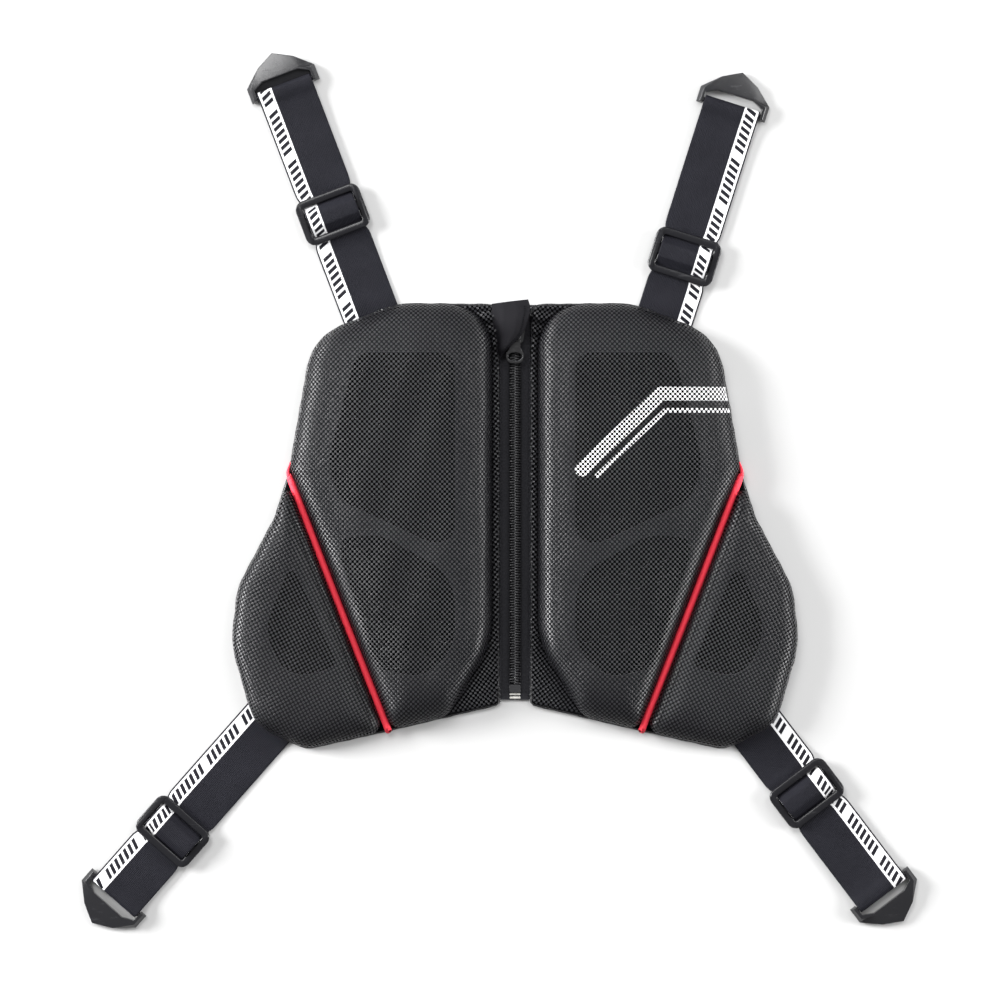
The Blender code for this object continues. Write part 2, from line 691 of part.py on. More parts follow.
def make_flap():
    """Cloth flap sewn to the panel at its left edge, standing off over the slider."""
    head = SLIDER_Y + FLAP_HEAD * FLAP_LENGTH
    low = PANEL_TOP + CLEARANCE
    full = BRIDGE_TOP + FLAP_AIR - low
    rows = []
    for row in FLAP_ROWS:
        line = []
        for share, arch in FLAP_ARCH:
            x = (row["left"] + (row["right"] - row["left"]) * share) * FLAP_WIDTH
            y = head - FLAP_LENGTH * (row["down"] - FLAP_SKEW * share * (1 - row["down"]))
            line.append(Vector((x, y, low + full * arch * row["lift"])))
        rows.append(line)
    loops = [row + [p + Vector((0.0, 0.0, FLAP_WALL)) for p in reversed(row)] for row in rows]
    bm = bmesh.new()
    add_loft(bm, loops)
    return finish_object("garage_flap", bm, CLOTH_BLACK, 60)


# Straps and their hardware

def strap_route(ladder, hook):
    """Middle line of a strap in its own plane: (distance from the body's edge, height)."""
    half_ladder = LADDER_LENGTH / 2
    half_bar = LADDER_CENTRE_BAR / 2
    end_bar = half_ladder - LADDER_END_BAR
    thick = STRAP_THICKNESS
    off = CLEARANCE + thick / 2
    cut = STRAP_HUG * off
    side = half_bar + off
    under = LADDER_Z - off
    over = LADDER_Z + LADDER_THICKNESS + off
    top = over + thick + CLEARANCE
    route = [
        (-STRAP_TUCK, LOWER_LAYER),
        (ladder - half_ladder - STRAP_LEVEL - STRAP_CLIMB, LOWER_LAYER),
        (ladder - half_ladder - STRAP_LEVEL, UPPER_LAYER),
        (ladder - end_bar + 0.6 * thick, UPPER_LAYER),
        (ladder - side - 1.6 * thick, top - 0.8 * thick),
        (ladder - side - 0.6 * thick, top),
        (ladder + side + 0.6 * thick, top),
        (ladder + side + 1.6 * thick, top - 0.8 * thick),
        (ladder + end_bar - 0.6 * thick, UPPER_LAYER),
        (ladder + half_ladder + STRAP_LEVEL, UPPER_LAYER),
        (hook - 4 * LOOP_RADIUS, UPPER_LAYER),
        (hook - 1.2 * LOOP_RADIUS, HOOK_BAR_Z + 0.94 * LOOP_RADIUS),
    ]
    turns = 6
    for i in range(turns):
        angle = pi / 2 - pi * (i + 0.5) / turns
        radius = LOOP_RADIUS / cos(pi / turns / 2)
        route.append((hook + radius * cos(angle), HOOK_BAR_Z + radius * sin(angle)))
    route += [
        (hook - LOOP_RADIUS, LOWER_LAYER),
        (ladder + end_bar, LOWER_LAYER),
        (ladder + half_bar, under),
        (ladder - half_bar - cut, under),
        (ladder - side, LADDER_Z - cut),
        (ladder - side, LADDER_Z + LADDER_THICKNESS + cut),
        (ladder - half_bar - cut, over),
        (ladder + half_bar + cut, over),
        (ladder + side, LADDER_Z + LADDER_THICKNESS + cut),
        (ladder + side, LADDER_Z + LADDER_THICKNESS / 2),
    ]
    return route


def ribbon_loops(route, thickness):
    """Upper and lower points of a band of even thickness along its middle line."""
    pairs = []
    for i, point in enumerate(route):
        here = Vector(point)
        before = (here - Vector(route[i - 1])).normalized() if i else None
        after = (Vector(route[i + 1]) - here).normalized() if i + 1 < len(route) else None
        before = before or after
        after = after or before
        middle = (before + after).normalized()
        normal = Vector((-middle.y, middle.x)) * (thickness / 2 / middle.dot(after))
        pairs.append((here + normal, here - normal))
    return pairs


def make_strap(name, strap):
    root, along, across = strap_frame(strap)
    half = across * (STRAP_WIDTH / 2)
    loops = []
    for high, low in ribbon_loops(strap_route(strap["ladder"] * STRAP_REACH,
                                              strap["hook"] * STRAP_REACH), STRAP_THICKNESS):
        loop = []
        for point, edge in ((high, half), (high, -half), (low, -half), (low, half)):
            p = root + along * point.x + edge
            loop.append(Vector((p.x, p.y, point.y)))
        loops.append(loop)
    bm = bmesh.new()
    add_loft(bm, loops)
    return finish_object(name, bm, WEBBING_BLACK)


def laid(points, strap, distance):
    """Points given as (along, across) from a place on the strap, in world XY."""
    root, along, across = strap_frame(strap)
    origin = root + along * distance
    return [origin + along * p.x + across * p.y for p in points]


def make_ladder(name, strap):
    """Flat frame with a centre bar: two slots through one rounded plate."""
    distance = strap["ladder"] * STRAP_REACH
    half = LADDER_LENGTH / 2
    width = LADDER_WIDTH / 2
    plate = rounded(box_points(-half, half, -width, width), [LADDER_ROUND] * 4, 4)
    bm = bmesh.new()
    add_prism(bm, laid(plate, strap, distance), LADDER_Z, LADDER_Z + LADDER_THICKNESS)
    ladder = finish_object(name, bm, PLASTIC_BLACK, 40)
    cuts = bmesh.new()
    near = LADDER_CENTRE_BAR / 2
    far = half - LADDER_END_BAR
    slot = width - LADDER_SIDE_BAR
    for low, high in ((near, far), (-far, -near)):
        window = rounded(box_points(low, high, -slot, slot), [LADDER_SLOT_ROUND] * 4, 1)
        add_prism(cuts, laid(window, strap, distance), 0.0, 2 * LADDER_Z + LADDER_THICKNESS)
    combine(ladder, finish_object(name + "_slots", cuts, None), "DIFFERENCE")
    return ladder


def make_hook(name, strap):
    """Faceted plate on two arms, with a round bar between them inside the strap's fold."""
    distance = strap["hook"] * STRAP_REACH
    inner = STRAP_WIDTH / 2 + 2 * CLEARANCE
    outer = inner + HOOK_ARM
    rows = [(row, -1) for row in HOOK_ROWS] + [(row, 1) for row in reversed(HOOK_ROWS[:-1])]
    outline = [Vector((row["along"] * HOOK_LENGTH, sign * row["across"] * outer))
               for row, sign in rows]
    ridge = [Vector((row["ridge_along"] * HOOK_LENGTH, sign * row["ridge_across"] * outer))
             for row, sign in rows]
    heights = [row["edge"] * HOOK_THICKNESS for row, sign in rows]
    foot = set_in(outline, [HOOK_FOOT_SET] * len(outline))
    foot = flat_loop(laid(foot, strap, distance), 0.0)
    low_edge = flat_loop(laid(outline, strap, distance), HOOK_FOOT_RISE)
    high_edge = [Vector((p.x, p.y, z)) for p, z in zip(low_edge, heights)]
    bm = bmesh.new()
    add_loft(bm, [foot, low_edge, high_edge, flat_loop(laid(ridge, strap, distance), HOOK_THICKNESS)])
    hook = finish_object(name, bm, PLASTIC_BLACK)

    slot = bmesh.new()
    heel = 2 * outline[0].x
    near = LOOP_RADIUS + STRAP_THICKNESS / 2 + HOOK_SLOT
    far = near + HOOK_SLOT_RISE
    shape = [Vector((heel, -inner)), Vector((near, -inner)), Vector((far, -0.63 * inner)),
             Vector((far, 0.63 * inner)), Vector((near, inner)), Vector((heel, inner))]
    add_prism(slot, laid(shape, strap, distance), -HOOK_THICKNESS, 2 * HOOK_THICKNESS)
    combine(hook, finish_object(name + "_slot", slot, None), "DIFFERENCE")

    root, along, across = strap_frame(strap)
    centre = root + along * distance
    reach = inner + 0.5 * HOOK_ARM
    loops = []
    for end in (-reach, reach):
        loop = []
        for x, z in circle_points(Vector((0.0, HOOK_BAR_Z)), HOOK_BAR_RADIUS, 10):
            p = centre + along * x + across * end
            loop.append(Vector((p.x, p.y, z)))
        loops.append(loop)
    bar = bmesh.new()
    add_loft(bar, loops)
    combine(hook, finish_object(name + "_bar", bar, None), "UNION")
    return hook


def build():
    clear_scene()
    for tag, side in (("l", -1), ("r", 1)):
        make_panel("back_panel_" + tag, side)
        make_cover("chest_cover_" + tag, CHEST_CORNERS, CHEST_SPINE, CHEST_RISE, CHEST_EDGE_SIDES, side)
        make_cover("side_cover_" + tag, SIDE_CORNERS, SIDE_SPINE, SIDE_RISE, SIDE_EDGE_SIDES, side)
        make_armour("chest_armour_" + tag, CHEST_CORNERS, CHEST_SPINE, CHEST_FIELDS, CHEST_RISE,
                    CHEST_EDGE_SIDES, side)
        make_armour("side_armour_" + tag, SIDE_CORNERS, SIDE_SPINE, SIDE_FIELDS, SIDE_RISE,
                    SIDE_EDGE_SIDES, side)
        make_piping("piping_" + tag, side)
        make_tape("zip_tape_" + tag, side)
        make_chain("zip_chain_" + tag, side)
    make_bottom_stop()
    make_slider()
    make_pull_tab()
    make_flap()
    for tag, strap in STRAPS.items():
        make_strap("strap_" + tag, strap)
        make_ladder("ladder_slider_" + tag, strap)
        make_hook("end_hook_" + tag, strap)


build()
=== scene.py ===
import math

import bmesh
import bpy
import numpy as np
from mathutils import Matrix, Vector
from mathutils.bvhtree import BVHTree
from mathutils.geometry import tessellate_polygon


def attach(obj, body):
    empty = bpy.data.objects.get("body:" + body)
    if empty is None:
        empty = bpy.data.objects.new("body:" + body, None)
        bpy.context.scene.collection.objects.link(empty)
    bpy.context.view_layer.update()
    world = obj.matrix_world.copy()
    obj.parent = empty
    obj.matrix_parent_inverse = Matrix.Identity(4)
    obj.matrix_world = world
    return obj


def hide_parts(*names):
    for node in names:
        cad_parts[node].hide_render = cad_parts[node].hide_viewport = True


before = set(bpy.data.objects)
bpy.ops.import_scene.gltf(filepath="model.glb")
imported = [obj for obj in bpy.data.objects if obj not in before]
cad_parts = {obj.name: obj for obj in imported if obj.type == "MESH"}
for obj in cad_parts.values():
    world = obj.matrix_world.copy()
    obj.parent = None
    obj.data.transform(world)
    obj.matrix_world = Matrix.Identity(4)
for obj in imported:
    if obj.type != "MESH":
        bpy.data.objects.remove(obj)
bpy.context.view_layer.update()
mm = 0.001
print("chest protector: frame loaded")

# camera straight above the body, with a long lens
cameraView = {"x": -9.95 * mm, "y": 15.9 * mm, "height": 3.2, "viewWidth": 664 * mm, "sensor": 36,
              "clipEnd": 40}
cameraData = bpy.data.cameras.new("topCamera")
cameraData.sensor_width = cameraView["sensor"]
cameraData.lens = cameraView["sensor"] * cameraView["height"] / cameraView["viewWidth"]
cameraData.clip_end = cameraView["clipEnd"]
camera = bpy.data.objects.new("topCamera", cameraData)
camera.location = (cameraView["x"], cameraView["y"], cameraView["height"])
bpy.context.scene.collection.objects.link(camera)
bpy.context.scene.camera = camera
bpy.context.scene.view_settings.view_transform = "Standard"

# corners of one half: share of the way from the zip edge to the widest point, share of the
# half height, share of the corner round
halfBody = {
    "halfWidth": 187.5 * mm, "halfHeight": 147.5 * mm, "zipBorder": 10 * mm, "cornerRound": 40 * mm,
    "zipFoot": (0.0, -0.815, 0.05), "pipingFoot": (0.415, -0.933, 0.3),
    "wingBase": (0.727, -1.017, 0.45), "wingLow": (0.920, -0.900, 0.65),
    "wingSide": (1.006, -0.540, 1.5), "wingHigh": (0.982, -0.285, 1.1),
    "wingRoot": (0.842, 0.034, 1.2), "waist": (0.7915, 0.230, 0.5),
    "shoulder": (0.7014, 0.844, 0.95), "collar": (0.383, 0.995, 1.5),
    "zipHead": (0.0, 0.990, 0.18), "lowerBend": (0.0, -0.542, 1.5),
    "bottomBend": (0.158, -0.860, 0.35),
}
# corner, margin of the edge after it in mm, and its own round where it differs
panelEdge = [(name, 0.0, None) for name in (
    "zipFoot", "pipingFoot", "wingBase", "wingLow", "wingSide", "wingHigh", "wingRoot", "waist",
    "shoulder", "collar", "zipHead")]
chestEdge = [("bottomBend", 1.0, None), ("pipingFoot", 2.4, 0.2), ("waist", 1.0, 0.2),
             ("shoulder", 1.0, None), ("collar", 1.0, None), ("zipHead", 5.5, 1.0),
             ("lowerBend", 5.5, None)]
sideEdge = [("pipingFoot", 1.0, 0.2), ("wingBase", 1.0, None), ("wingLow", 1.0, None),
            ("wingSide", 1.0, None), ("wingHigh", 1.0, None), ("wingRoot", 1.0, None),
            ("waist", 2.4, 0.08)]


def bodyPoint(across, along):
    x = halfBody["zipBorder"] + across * (halfBody["halfWidth"] - halfBody["zipBorder"])
    return np.array([x, along * halfBody["halfHeight"]])


def unit(v):
    return v / np.linalg.norm(v)


def leftOf(v):
    return np.array([-v[1], v[0]])


def movedIn(corners, margins):  # corners of the outline with each edge moved inwards
    moved = []
    for i, point in enumerate(corners):
        before = unit(point - corners[i - 1])
        after = unit(corners[(i + 1) % len(corners)] - point)
        start = point + leftOf(before) * margins[i - 1]
        end = point + leftOf(after) * margins[i]
        gap = end - start
        share = (gap[0] * after[1] - gap[1] * after[0]) / (before[0] * after[1] - before[1] * after[0])
        moved.append(start + before * share)
    return moved


def roundedCorners(corners, radii, steps=12):
    line = []
    for i, point in enumerate(corners):
        back = corners[i - 1] - point
        ahead = corners[(i + 1) % len(corners)] - point
        cosine = np.dot(unit(back), unit(ahead))
        half = math.acos(max(-1.0, min(1.0, cosine))) / 2
        reach = min(radii[i] / math.tan(half), 0.48 * min(np.linalg.norm(back), np.linalg.norm(ahead)))
        radius = reach * math.tan(half)
        start = point + unit(back) * reach
        end = point + unit(ahead) * reach
        centre = point + unit(unit(back) + unit(ahead)) * radius / math.sin(half)
        first = math.atan2(start[1] - centre[1], start[0] - centre[0])
        sweep = math.atan2(end[1] - centre[1], end[0] - centre[0]) - first
        sweep = (sweep + math.pi) % (2 * math.pi) - math.pi
        for step in range(steps + 1):
            angle = first + sweep * step / steps
            line.append(centre + radius * np.array([math.cos(angle), math.sin(angle)]))
    return np.array(line)


def evenly(line, count, closed=True):
    points = np.vstack([line, line[:1]]) if closed else np.asarray(line, float)
    lengths = np.concatenate([[0], np.cumsum(np.linalg.norm(np.diff(points, axis=0), axis=1))])
    at = np.linspace(0, lengths[-1], count, endpoint=not closed)
    return np.stack([np.interp(at, lengths, points[:, k]) for k in range(points.shape[1])], 1)


def edgeLine(rows, count):  # evenly spaced outline on the +X side
    corners = [bodyPoint(*halfBody[name][:2]) for name, margin, own in rows]
    margins = [margin * mm for name, margin, own in rows]
    radii = [(halfBody[name][2] if own is None else own) * halfBody["cornerRound"]
             for name, margin, own in rows]
    return evenly(roundedCorners(movedIn(corners, margins), radii), count)


def shrunk(line, distance):
    tangent = np.roll(line, -1, 0) - np.roll(line, 1, 0)
    tangent /= np.linalg.norm(tangent, axis=1, keepdims=True)
    return line + np.stack([-tangent[:, 1], tangent[:, 0]], 1) * np.reshape(distance, (-1, 1))


def insideOf(points, outline):
    a, b = outline, np.roll(outline, -1, 0)
    x, y = points[:, :1], points[:, 1:2]
    crosses = (a[:, 1] > y) != (b[:, 1] > y)
    rise = np.where(b[:, 1] == a[:, 1], 1.0, b[:, 1] - a[:, 1])
    at = a[:, 0] + (b[:, 0] - a[:, 0]) * (y - a[:, 1]) / rise
    return (crosses & (x < at)).sum(1) % 2 == 1


def distanceTo(points, outline):
    a, b = outline, np.roll(outline, -1, 0)
    edge = b - a
    share = ((points[:, None] - a) * edge).sum(2) / (edge * edge).sum(1)
    foot = a + np.clip(share, 0, 1)[..., None] * edge
    return np.linalg.norm(points[:, None] - foot, axis=2).min(1)


def throughPoints(values, count):  # smooth curve through rows of values
    values = np.asarray(values, float)
    rows = np.vstack([2 * values[0] - values[1], values, 2 * values[-1] - values[-2]])
    made = []
    for at in np.linspace(0, len(values) - 1, count):
        i = min(int(at), len(values) - 2)
        t = at - i
        p0, p1, p2, p3 = rows[i:i + 4]
        made.append(0.5 * (2 * p1 + (p2 - p0) * t + (2 * p0 - 5 * p1 + 4 * p2 - p3) * t * t
                           + (3 * p1 - p0 - 3 * p2 + p3) * t ** 3))
    return np.array(made)


# meshes

def meshPiece(name, points, faces, weave=None, creaseAngle=None):
    mesh = bpy.data.meshes.new(name)
    mesh.from_pydata([tuple(map(float, p)) for p in points], [], [tuple(map(int, f)) for f in faces])
    if weave is not None:
        layer = mesh.uv_layers.new(name="weave")
        corner = np.zeros(len(mesh.loops), np.int32)
        mesh.loops.foreach_get("vertex_index", corner)
        layer.uv.foreach_set("vector", np.asarray(weave, np.float32)[corner].ravel())
    mesh.validate()
    mesh.shade_smooth()
    if creaseAngle is not None:
        mesh.set_sharp_from_angle(angle=math.radians(creaseAngle))
    piece = bpy.data.objects.new(name, mesh)
    bpy.context.scene.collection.objects.link(piece)
    return piece


def gridFaces(rows, columns, wrap=False):
    faces = []
    for i in range(rows - 1):
        for j in range(columns if wrap else columns - 1):
            k = (j + 1) % columns
            faces.append((i * columns + j, i * columns + k, (i + 1) * columns + k, (i + 1) * columns + j))
    return faces


def turnedOut(piece):  # all faces look outwards
    shape = bmesh.new()
    shape.from_mesh(piece.data)
    bmesh.ops.recalc_face_normals(shape, faces=shape.faces)
    shape.to_mesh(piece.data)
    shape.free()
    return piece


def applied(piece):  # its modifiers made part of the mesh
    bpy.context.view_layer.update()
    final = bpy.data.meshes.new_from_object(piece.evaluated_get(bpy.context.evaluated_depsgraph_get()))
    old = piece.data
    piece.modifiers.clear()
    piece.data = final
    bpy.data.meshes.remove(old)
    return piece


def smoothed(piece, levels=1):
    change = piece.modifiers.new("smooth", "SUBSURF")
    change.levels = levels
    change.render_levels = levels
    return applied(piece)


def mirrorMesh(points, faces, weave):
    points = np.array(points, float)
    points[:, 0] *= -1
    return points, [tuple(reversed(f)) for f in faces], weave


def dressed(piece, finish, body, slotName, *nodes):
    kept = np.zeros(len(piece.data.polygons), np.int32)
    piece.data.polygons.foreach_get("material_index", kept)
    piece.data.materials.clear()
    for material in (finish if isinstance(finish, (list, tuple)) else [finish]):
        piece.data.materials.append(material)
    piece.data.polygons.foreach_set("material_index", np.minimum(kept, len(piece.data.materials) - 1))
    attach(piece, body)
    if nodes:
        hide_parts(*nodes)
    return piece


def tube(path, radius, sides=12):  # round tube along a path, with its weave coordinates
    path = np.asarray(path, float)
    radii = np.broadcast_to(radius, (len(path),))
    tangent = np.gradient(path, axis=0)
    tangent /= np.linalg.norm(tangent, axis=1, keepdims=True)
    up = np.array([0.0, 0.0, 1.0])
    points, weave = [], []
    run = np.concatenate([[0], np.cumsum(np.linalg.norm(np.diff(path, axis=0), axis=1))])
    for i, centre in enumerate(path):
        side = np.cross(tangent[i], up)
        if np.linalg.norm(side) < 0.05:
            side = np.array([1.0, 0.0, 0.0])
        side = unit(side)
        rise = unit(np.cross(side, tangent[i]))
        for k in range(sides + 1):
            angle = -math.pi / 2 + 2 * math.pi * k / sides
            points.append(centre + radii[i] * (side * math.cos(angle) + rise * math.sin(angle)))
            weave.append((run[i], radii.max() * 2 * math.pi * k / sides))
    return points, gridFaces(len(path), sides + 1), weave


# running stitches along a path, each sunk at both ends; first and last are shares of the pitch
stitchForm = {"sink": (-3.0, 0.4, 1.0, 1.0, 0.4, -3.0), "thick": (0.55, 0.95, 1, 1, 0.95, 0.55)}


def seamThread(name, path, pitch, radius, sag=0.25, sides=6, first=0.08, last=0.92):
    path = np.asarray(path, float)
    run = np.concatenate([[0], np.cumsum(np.linalg.norm(np.diff(path, axis=0), axis=1))])
    points, faces, weave = [], [], []
    for n in range(int(run[-1] / pitch)):
        at = (n + np.linspace(first, last, len(stitchForm["sink"]))) * pitch
        line = np.stack([np.interp(at, run, path[:, k]) for k in range(3)], 1)
        line[:, 2] += radius * sag * np.array(stitchForm["sink"])
        p, f, w = tube(line, np.array(stitchForm["thick"]) * radius, sides)
        start = len(points)
        points += list(p)
        faces += [tuple(start + k for k in face) for face in f]
        weave += w
    return meshPiece(name, points, faces, weave)


# shader node helpers

def calc(tree, operation, *values):
    node = tree.nodes.new("ShaderNodeMath")
    node.operation = operation
    for socket, value in zip(node.inputs, values):
        if isinstance(value, (int, float)):
            socket.default_value = value
        else:
            tree.links.new(value, socket)
    return node.outputs[0]


def vectorCalc(tree, operation, *values, out=0):
    node = tree.nodes.new("ShaderNodeVectorMath")
    node.operation = operation
    for socket, value in zip(node.inputs, values):
        if isinstance(value, tuple):
            socket.default_value = value
        else:
            tree.links.new(value, socket)
    return node.outputs[out]


def ramped(tree, value, low, high, first=0.0, last=1.0):
    node = tree.nodes.new("ShaderNodeMapRange")
    node.interpolation_type = "SMOOTHSTEP"
    for socket, number in zip(list(node.inputs)[1:5], (low, high, first, last)):
        if isinstance(number, (int, float)):
            socket.default_value = number
        else:
            tree.links.new(number, socket)
    tree.links.new(value, node.inputs[0])
    return node.outputs[0]


def mixedColour(tree, share, first, second):
    node = tree.nodes.new("ShaderNodeMix")
    node.data_type = "RGBA"
    for socket, value in ((node.inputs[0], share), (node.inputs[6], first), (node.inputs[7], second)):
        if isinstance(value, tuple):
            socket.default_value = (*value, 1.0) if len(value) == 3 else value
        elif isinstance(value, (int, float)):
            socket.default_value = value
        else:
            tree.links.new(value, socket)
    return node.outputs[2]


def noisy(tree, vector, scale, detail=2.0, roughness=0.5):
    node = tree.nodes.new("ShaderNodeTexNoise")
    node.inputs["Scale"].default_value = scale
    node.inputs["Detail"].default_value = detail
    node.inputs["Roughness"].default_value = roughness
    tree.links.new(vector, node.inputs["Vector"])
    return node.outputs["Fac"]


def split(tree, vector):
    node = tree.nodes.new("ShaderNodeSeparateXYZ")
    tree.links.new(vector, node.inputs[0])
    return node.outputs


def newGroup(name, inputs, outputs):
    group = bpy.data.node_groups.new(name, "ShaderNodeTree")
    for label, kind, value in inputs:
        socket = group.interface.new_socket(name=label, in_out="INPUT", socket_type=kind)
        if value is not None:
            socket.default_value = value
    for label in outputs:
        group.interface.new_socket(name=label, in_out="OUTPUT", socket_type="NodeSocketFloat")
    return group, group.nodes.new("NodeGroupInput").outputs, group.nodes.new("NodeGroupOutput").inputs


def placed(tree, group, vector, **values):
    node = tree.nodes.new("ShaderNodeGroup")
    node.node_tree = group
    tree.links.new(vector, node.inputs["Vector"])
    for label, value in values.items():
        node.inputs[label].default_value = value
    return node.outputs


def waved(tree, kind, place, pitch, turn=2 * math.pi):  # sine or cosine that turns once in each pitch
    return calc(tree, kind, calc(tree, "MULTIPLY", calc(tree, "DIVIDE", place, pitch), turn))


# knitted net: round holes on a diagonal lattice, rounded strands between them
netForm = {"middle": 0.5, "round": 0.8, "holeFloor": -0.35, "loopTurn": 8 * math.pi, "loopHeight": 0.10}
netWeave, netIn, netOut = newGroup("netWeave", [
    ("Vector", "NodeSocketVector", None), ("Across", "NodeSocketFloat", 0.0032),
    ("Along", "NodeSocketFloat", 0.0033), ("Hole", "NodeSocketFloat", 0.3),
    ("Soft", "NodeSocketFloat", 0.12)], ["Thread", "Height"])
netX, netY, _ = split(netWeave, netIn["Vector"])
lattice = calc(netWeave, "MULTIPLY", waved(netWeave, "COSINE", netX, netIn["Across"]),
               waved(netWeave, "COSINE", netY, netIn["Along"]))
holeLow = calc(netWeave, "SUBTRACT", netIn["Hole"], netIn["Soft"])
holeHigh = calc(netWeave, "ADD", netIn["Hole"], netIn["Soft"])
netWeave.links.new(ramped(netWeave, lattice, holeLow, holeHigh, 1.0, 0.0), netOut["Thread"])
knit = calc(netWeave, "MULTIPLY", waved(netWeave, "SINE", netY, netIn["Along"], netForm["loopTurn"]),
            netForm["loopHeight"])
hollow = calc(netWeave, "MAXIMUM", lattice, netForm["holeFloor"])
hollow = calc(netWeave, "MULTIPLY", hollow, netForm["round"])
strandHeight = calc(netWeave, "SUBTRACT", netForm["middle"], hollow)
netWeave.links.new(calc(netWeave, "ADD", strandHeight, knit), netOut["Height"])

# plain woven cloth: warp over weft; Shade darkens the colour in the dips between threads as painted shade,
# times random fuzz
plainWeave, plainIn, plainOut = newGroup("plainWeave", [
    ("Vector", "NodeSocketVector", None), ("Warp", "NodeSocketFloat", 0.0006),
    ("Weft", "NodeSocketFloat", 0.0006)], ["Shade", "Height"])
plainX, plainY, _ = split(plainWeave, plainIn["Vector"])
crossing = calc(plainWeave, "MULTIPLY", waved(plainWeave, "SINE", plainX, plainIn["Warp"]),
                waved(plainWeave, "SINE", plainY, plainIn["Weft"]))
weaveHeight = calc(plainWeave, "MULTIPLY_ADD", crossing, 0.5, 0.5)
fuzz = noisy(plainWeave, plainIn["Vector"], 900.0, 3.0)
plainWeave.links.new(weaveHeight, plainOut["Height"])
plainWeave.links.new(calc(plainWeave, "MULTIPLY", weaveHeight, fuzz), plainOut["Shade"])

# ribbed elastic: cords along the strap crossed by fine picks; Shade is random cloud plus painted shade,
# darker in the dips between the ribs
ribbedElastic, ribIn, ribOut = newGroup("ribbedElastic", [
    ("Vector", "NodeSocketVector", None), ("Rib", "NodeSocketFloat", 0.0011),
    ("Pick", "NodeSocketFloat", 0.0008)], ["Shade", "Height"])
ribX, ribY, _ = split(ribbedElastic, ribIn["Vector"])
ribWave = calc(ribbedElastic, "ABSOLUTE", waved(ribbedElastic, "SINE", ribY, ribIn["Rib"], math.pi))
pickWave = waved(ribbedElastic, "SINE", ribX, ribIn["Pick"])
ribHeight = calc(ribbedElastic, "MULTIPLY_ADD", pickWave, 0.3, ribWave)
ribCloud = noisy(ribbedElastic, ribIn["Vector"], 60.0, 4.0)
ribShade = calc(ribbedElastic, "MULTIPLY_ADD", ribCloud, 0.6, calc(ribbedElastic, "MULTIPLY", ribHeight, 0.4))
ribbedElastic.links.new(ribHeight, ribOut["Height"])
ribbedElastic.links.new(ribShade, ribOut["Shade"])

# moulded surface: fine grain with a few scuffs
mouldedGrain, grainIn, grainOut = newGroup("mouldedGrain", [
    ("Vector", "NodeSocketVector", None), ("Grain", "NodeSocketFloat", 2600.0)], ["Scuff", "Height"])
grainNode = mouldedGrain.nodes.new("ShaderNodeTexNoise")
grainNode.inputs["Detail"].default_value = 2.0
mouldedGrain.links.new(grainIn["Vector"], grainNode.inputs["Vector"])
mouldedGrain.links.new(grainIn["Grain"], grainNode.inputs["Scale"])
scuffStretch = vectorCalc(mouldedGrain, "MULTIPLY", grainIn["Vector"], (1.0, 5.0, 1.0))
scuffs = ramped(mouldedGrain, noisy(mouldedGrain, scuffStretch, 70.0, 6.0, 0.7), 0.55, 0.75)
mouldedGrain.links.new(grainNode.outputs["Fac"], grainOut["Height"])
mouldedGrain.links.new(scuffs, grainOut["Scuff"])

# straight printed band between two places
printedBand, bandIn, bandOut = newGroup("printedBand", [
    ("Vector", "NodeSocketVector", None), ("Start", "NodeSocketVector", (0.0, 0.0, 0.0)),
    ("End", "NodeSocketVector", (0.1, 0.0, 0.0)), ("HalfWidth", "NodeSocketFloat", 0.004)], ["Mask"])
bandRun = vectorCalc(printedBand, "SUBTRACT", bandIn["End"], bandIn["Start"])
bandAt = vectorCalc(printedBand, "SUBTRACT", bandIn["Vector"], bandIn["Start"])
bandShare = calc(printedBand, "DIVIDE", vectorCalc(printedBand, "DOT_PRODUCT", bandAt, bandRun, out=1),
                 vectorCalc(printedBand, "DOT_PRODUCT", bandRun, bandRun, out=1))
bandShare.node.use_clamp = True
bandFoot = vectorCalc(printedBand, "SCALE", bandRun)
printedBand.links.new(bandShare, bandFoot.node.inputs["Scale"])
bandFar = vectorCalc(printedBand, "LENGTH", vectorCalc(printedBand, "SUBTRACT", bandAt, bandFoot), out=1)
bandEdge = calc(printedBand, "SUBTRACT", bandFar, bandIn["HalfWidth"])
printedBand.links.new(ramped(printedBand, bandEdge, -0.0002, 0.0002, 1.0, 0.0), bandOut["Mask"])


def newFinish(name, roughness, metallic=0.0, specular=0.5):
    material = bpy.data.materials.new(name)
    material.use_nodes = True
    tree = material.node_tree
    shader = tree.nodes["Principled BSDF"]
    shader.inputs["Roughness"].default_value = roughness
    shader.inputs["Metallic"].default_value = metallic
    shader.inputs["Specular IOR Level"].default_value = specular
    return material, tree, shader


def weavePlace(tree, turn=0.0):
    node = tree.nodes.new("ShaderNodeUVMap")
    node.uv_map = "weave"
    if not turn:
        return node.outputs[0]
    turned = tree.nodes.new("ShaderNodeMapping")
    turned.inputs["Rotation"].default_value = (0.0, 0.0, math.radians(turn))
    tree.links.new(node.outputs[0], turned.inputs["Vector"])
    return turned.outputs[0]


def objectPlace(tree):
    return tree.nodes.new("ShaderNodeTexCoord").outputs["Object"]


def bumped(tree, shader, height, distance, strength=1.0):
    node = tree.nodes.new("ShaderNodeBump")
    node.inputs["Strength"].default_value = strength
    node.inputs["Distance"].default_value = distance
    tree.links.new(height, node.inputs["Height"])
    tree.links.new(node.outputs[0], shader.inputs["Normal"])


# printed stripes on the right chest pad: a broad dog-leg band and a thin one beside it,
# each row a bend's place across and along and the half width, in mm
chestPrint = {
    "white": (0.62, 0.62, 0.63), "cover": 0.93,
    "broad": [(44, 36, 4.6), (96, 86, 4.6), (150, 86, 4.6)],
    "thin": [(54, 32, 1.5), (99, 75, 1.5), (150, 75, 1.5)],
}

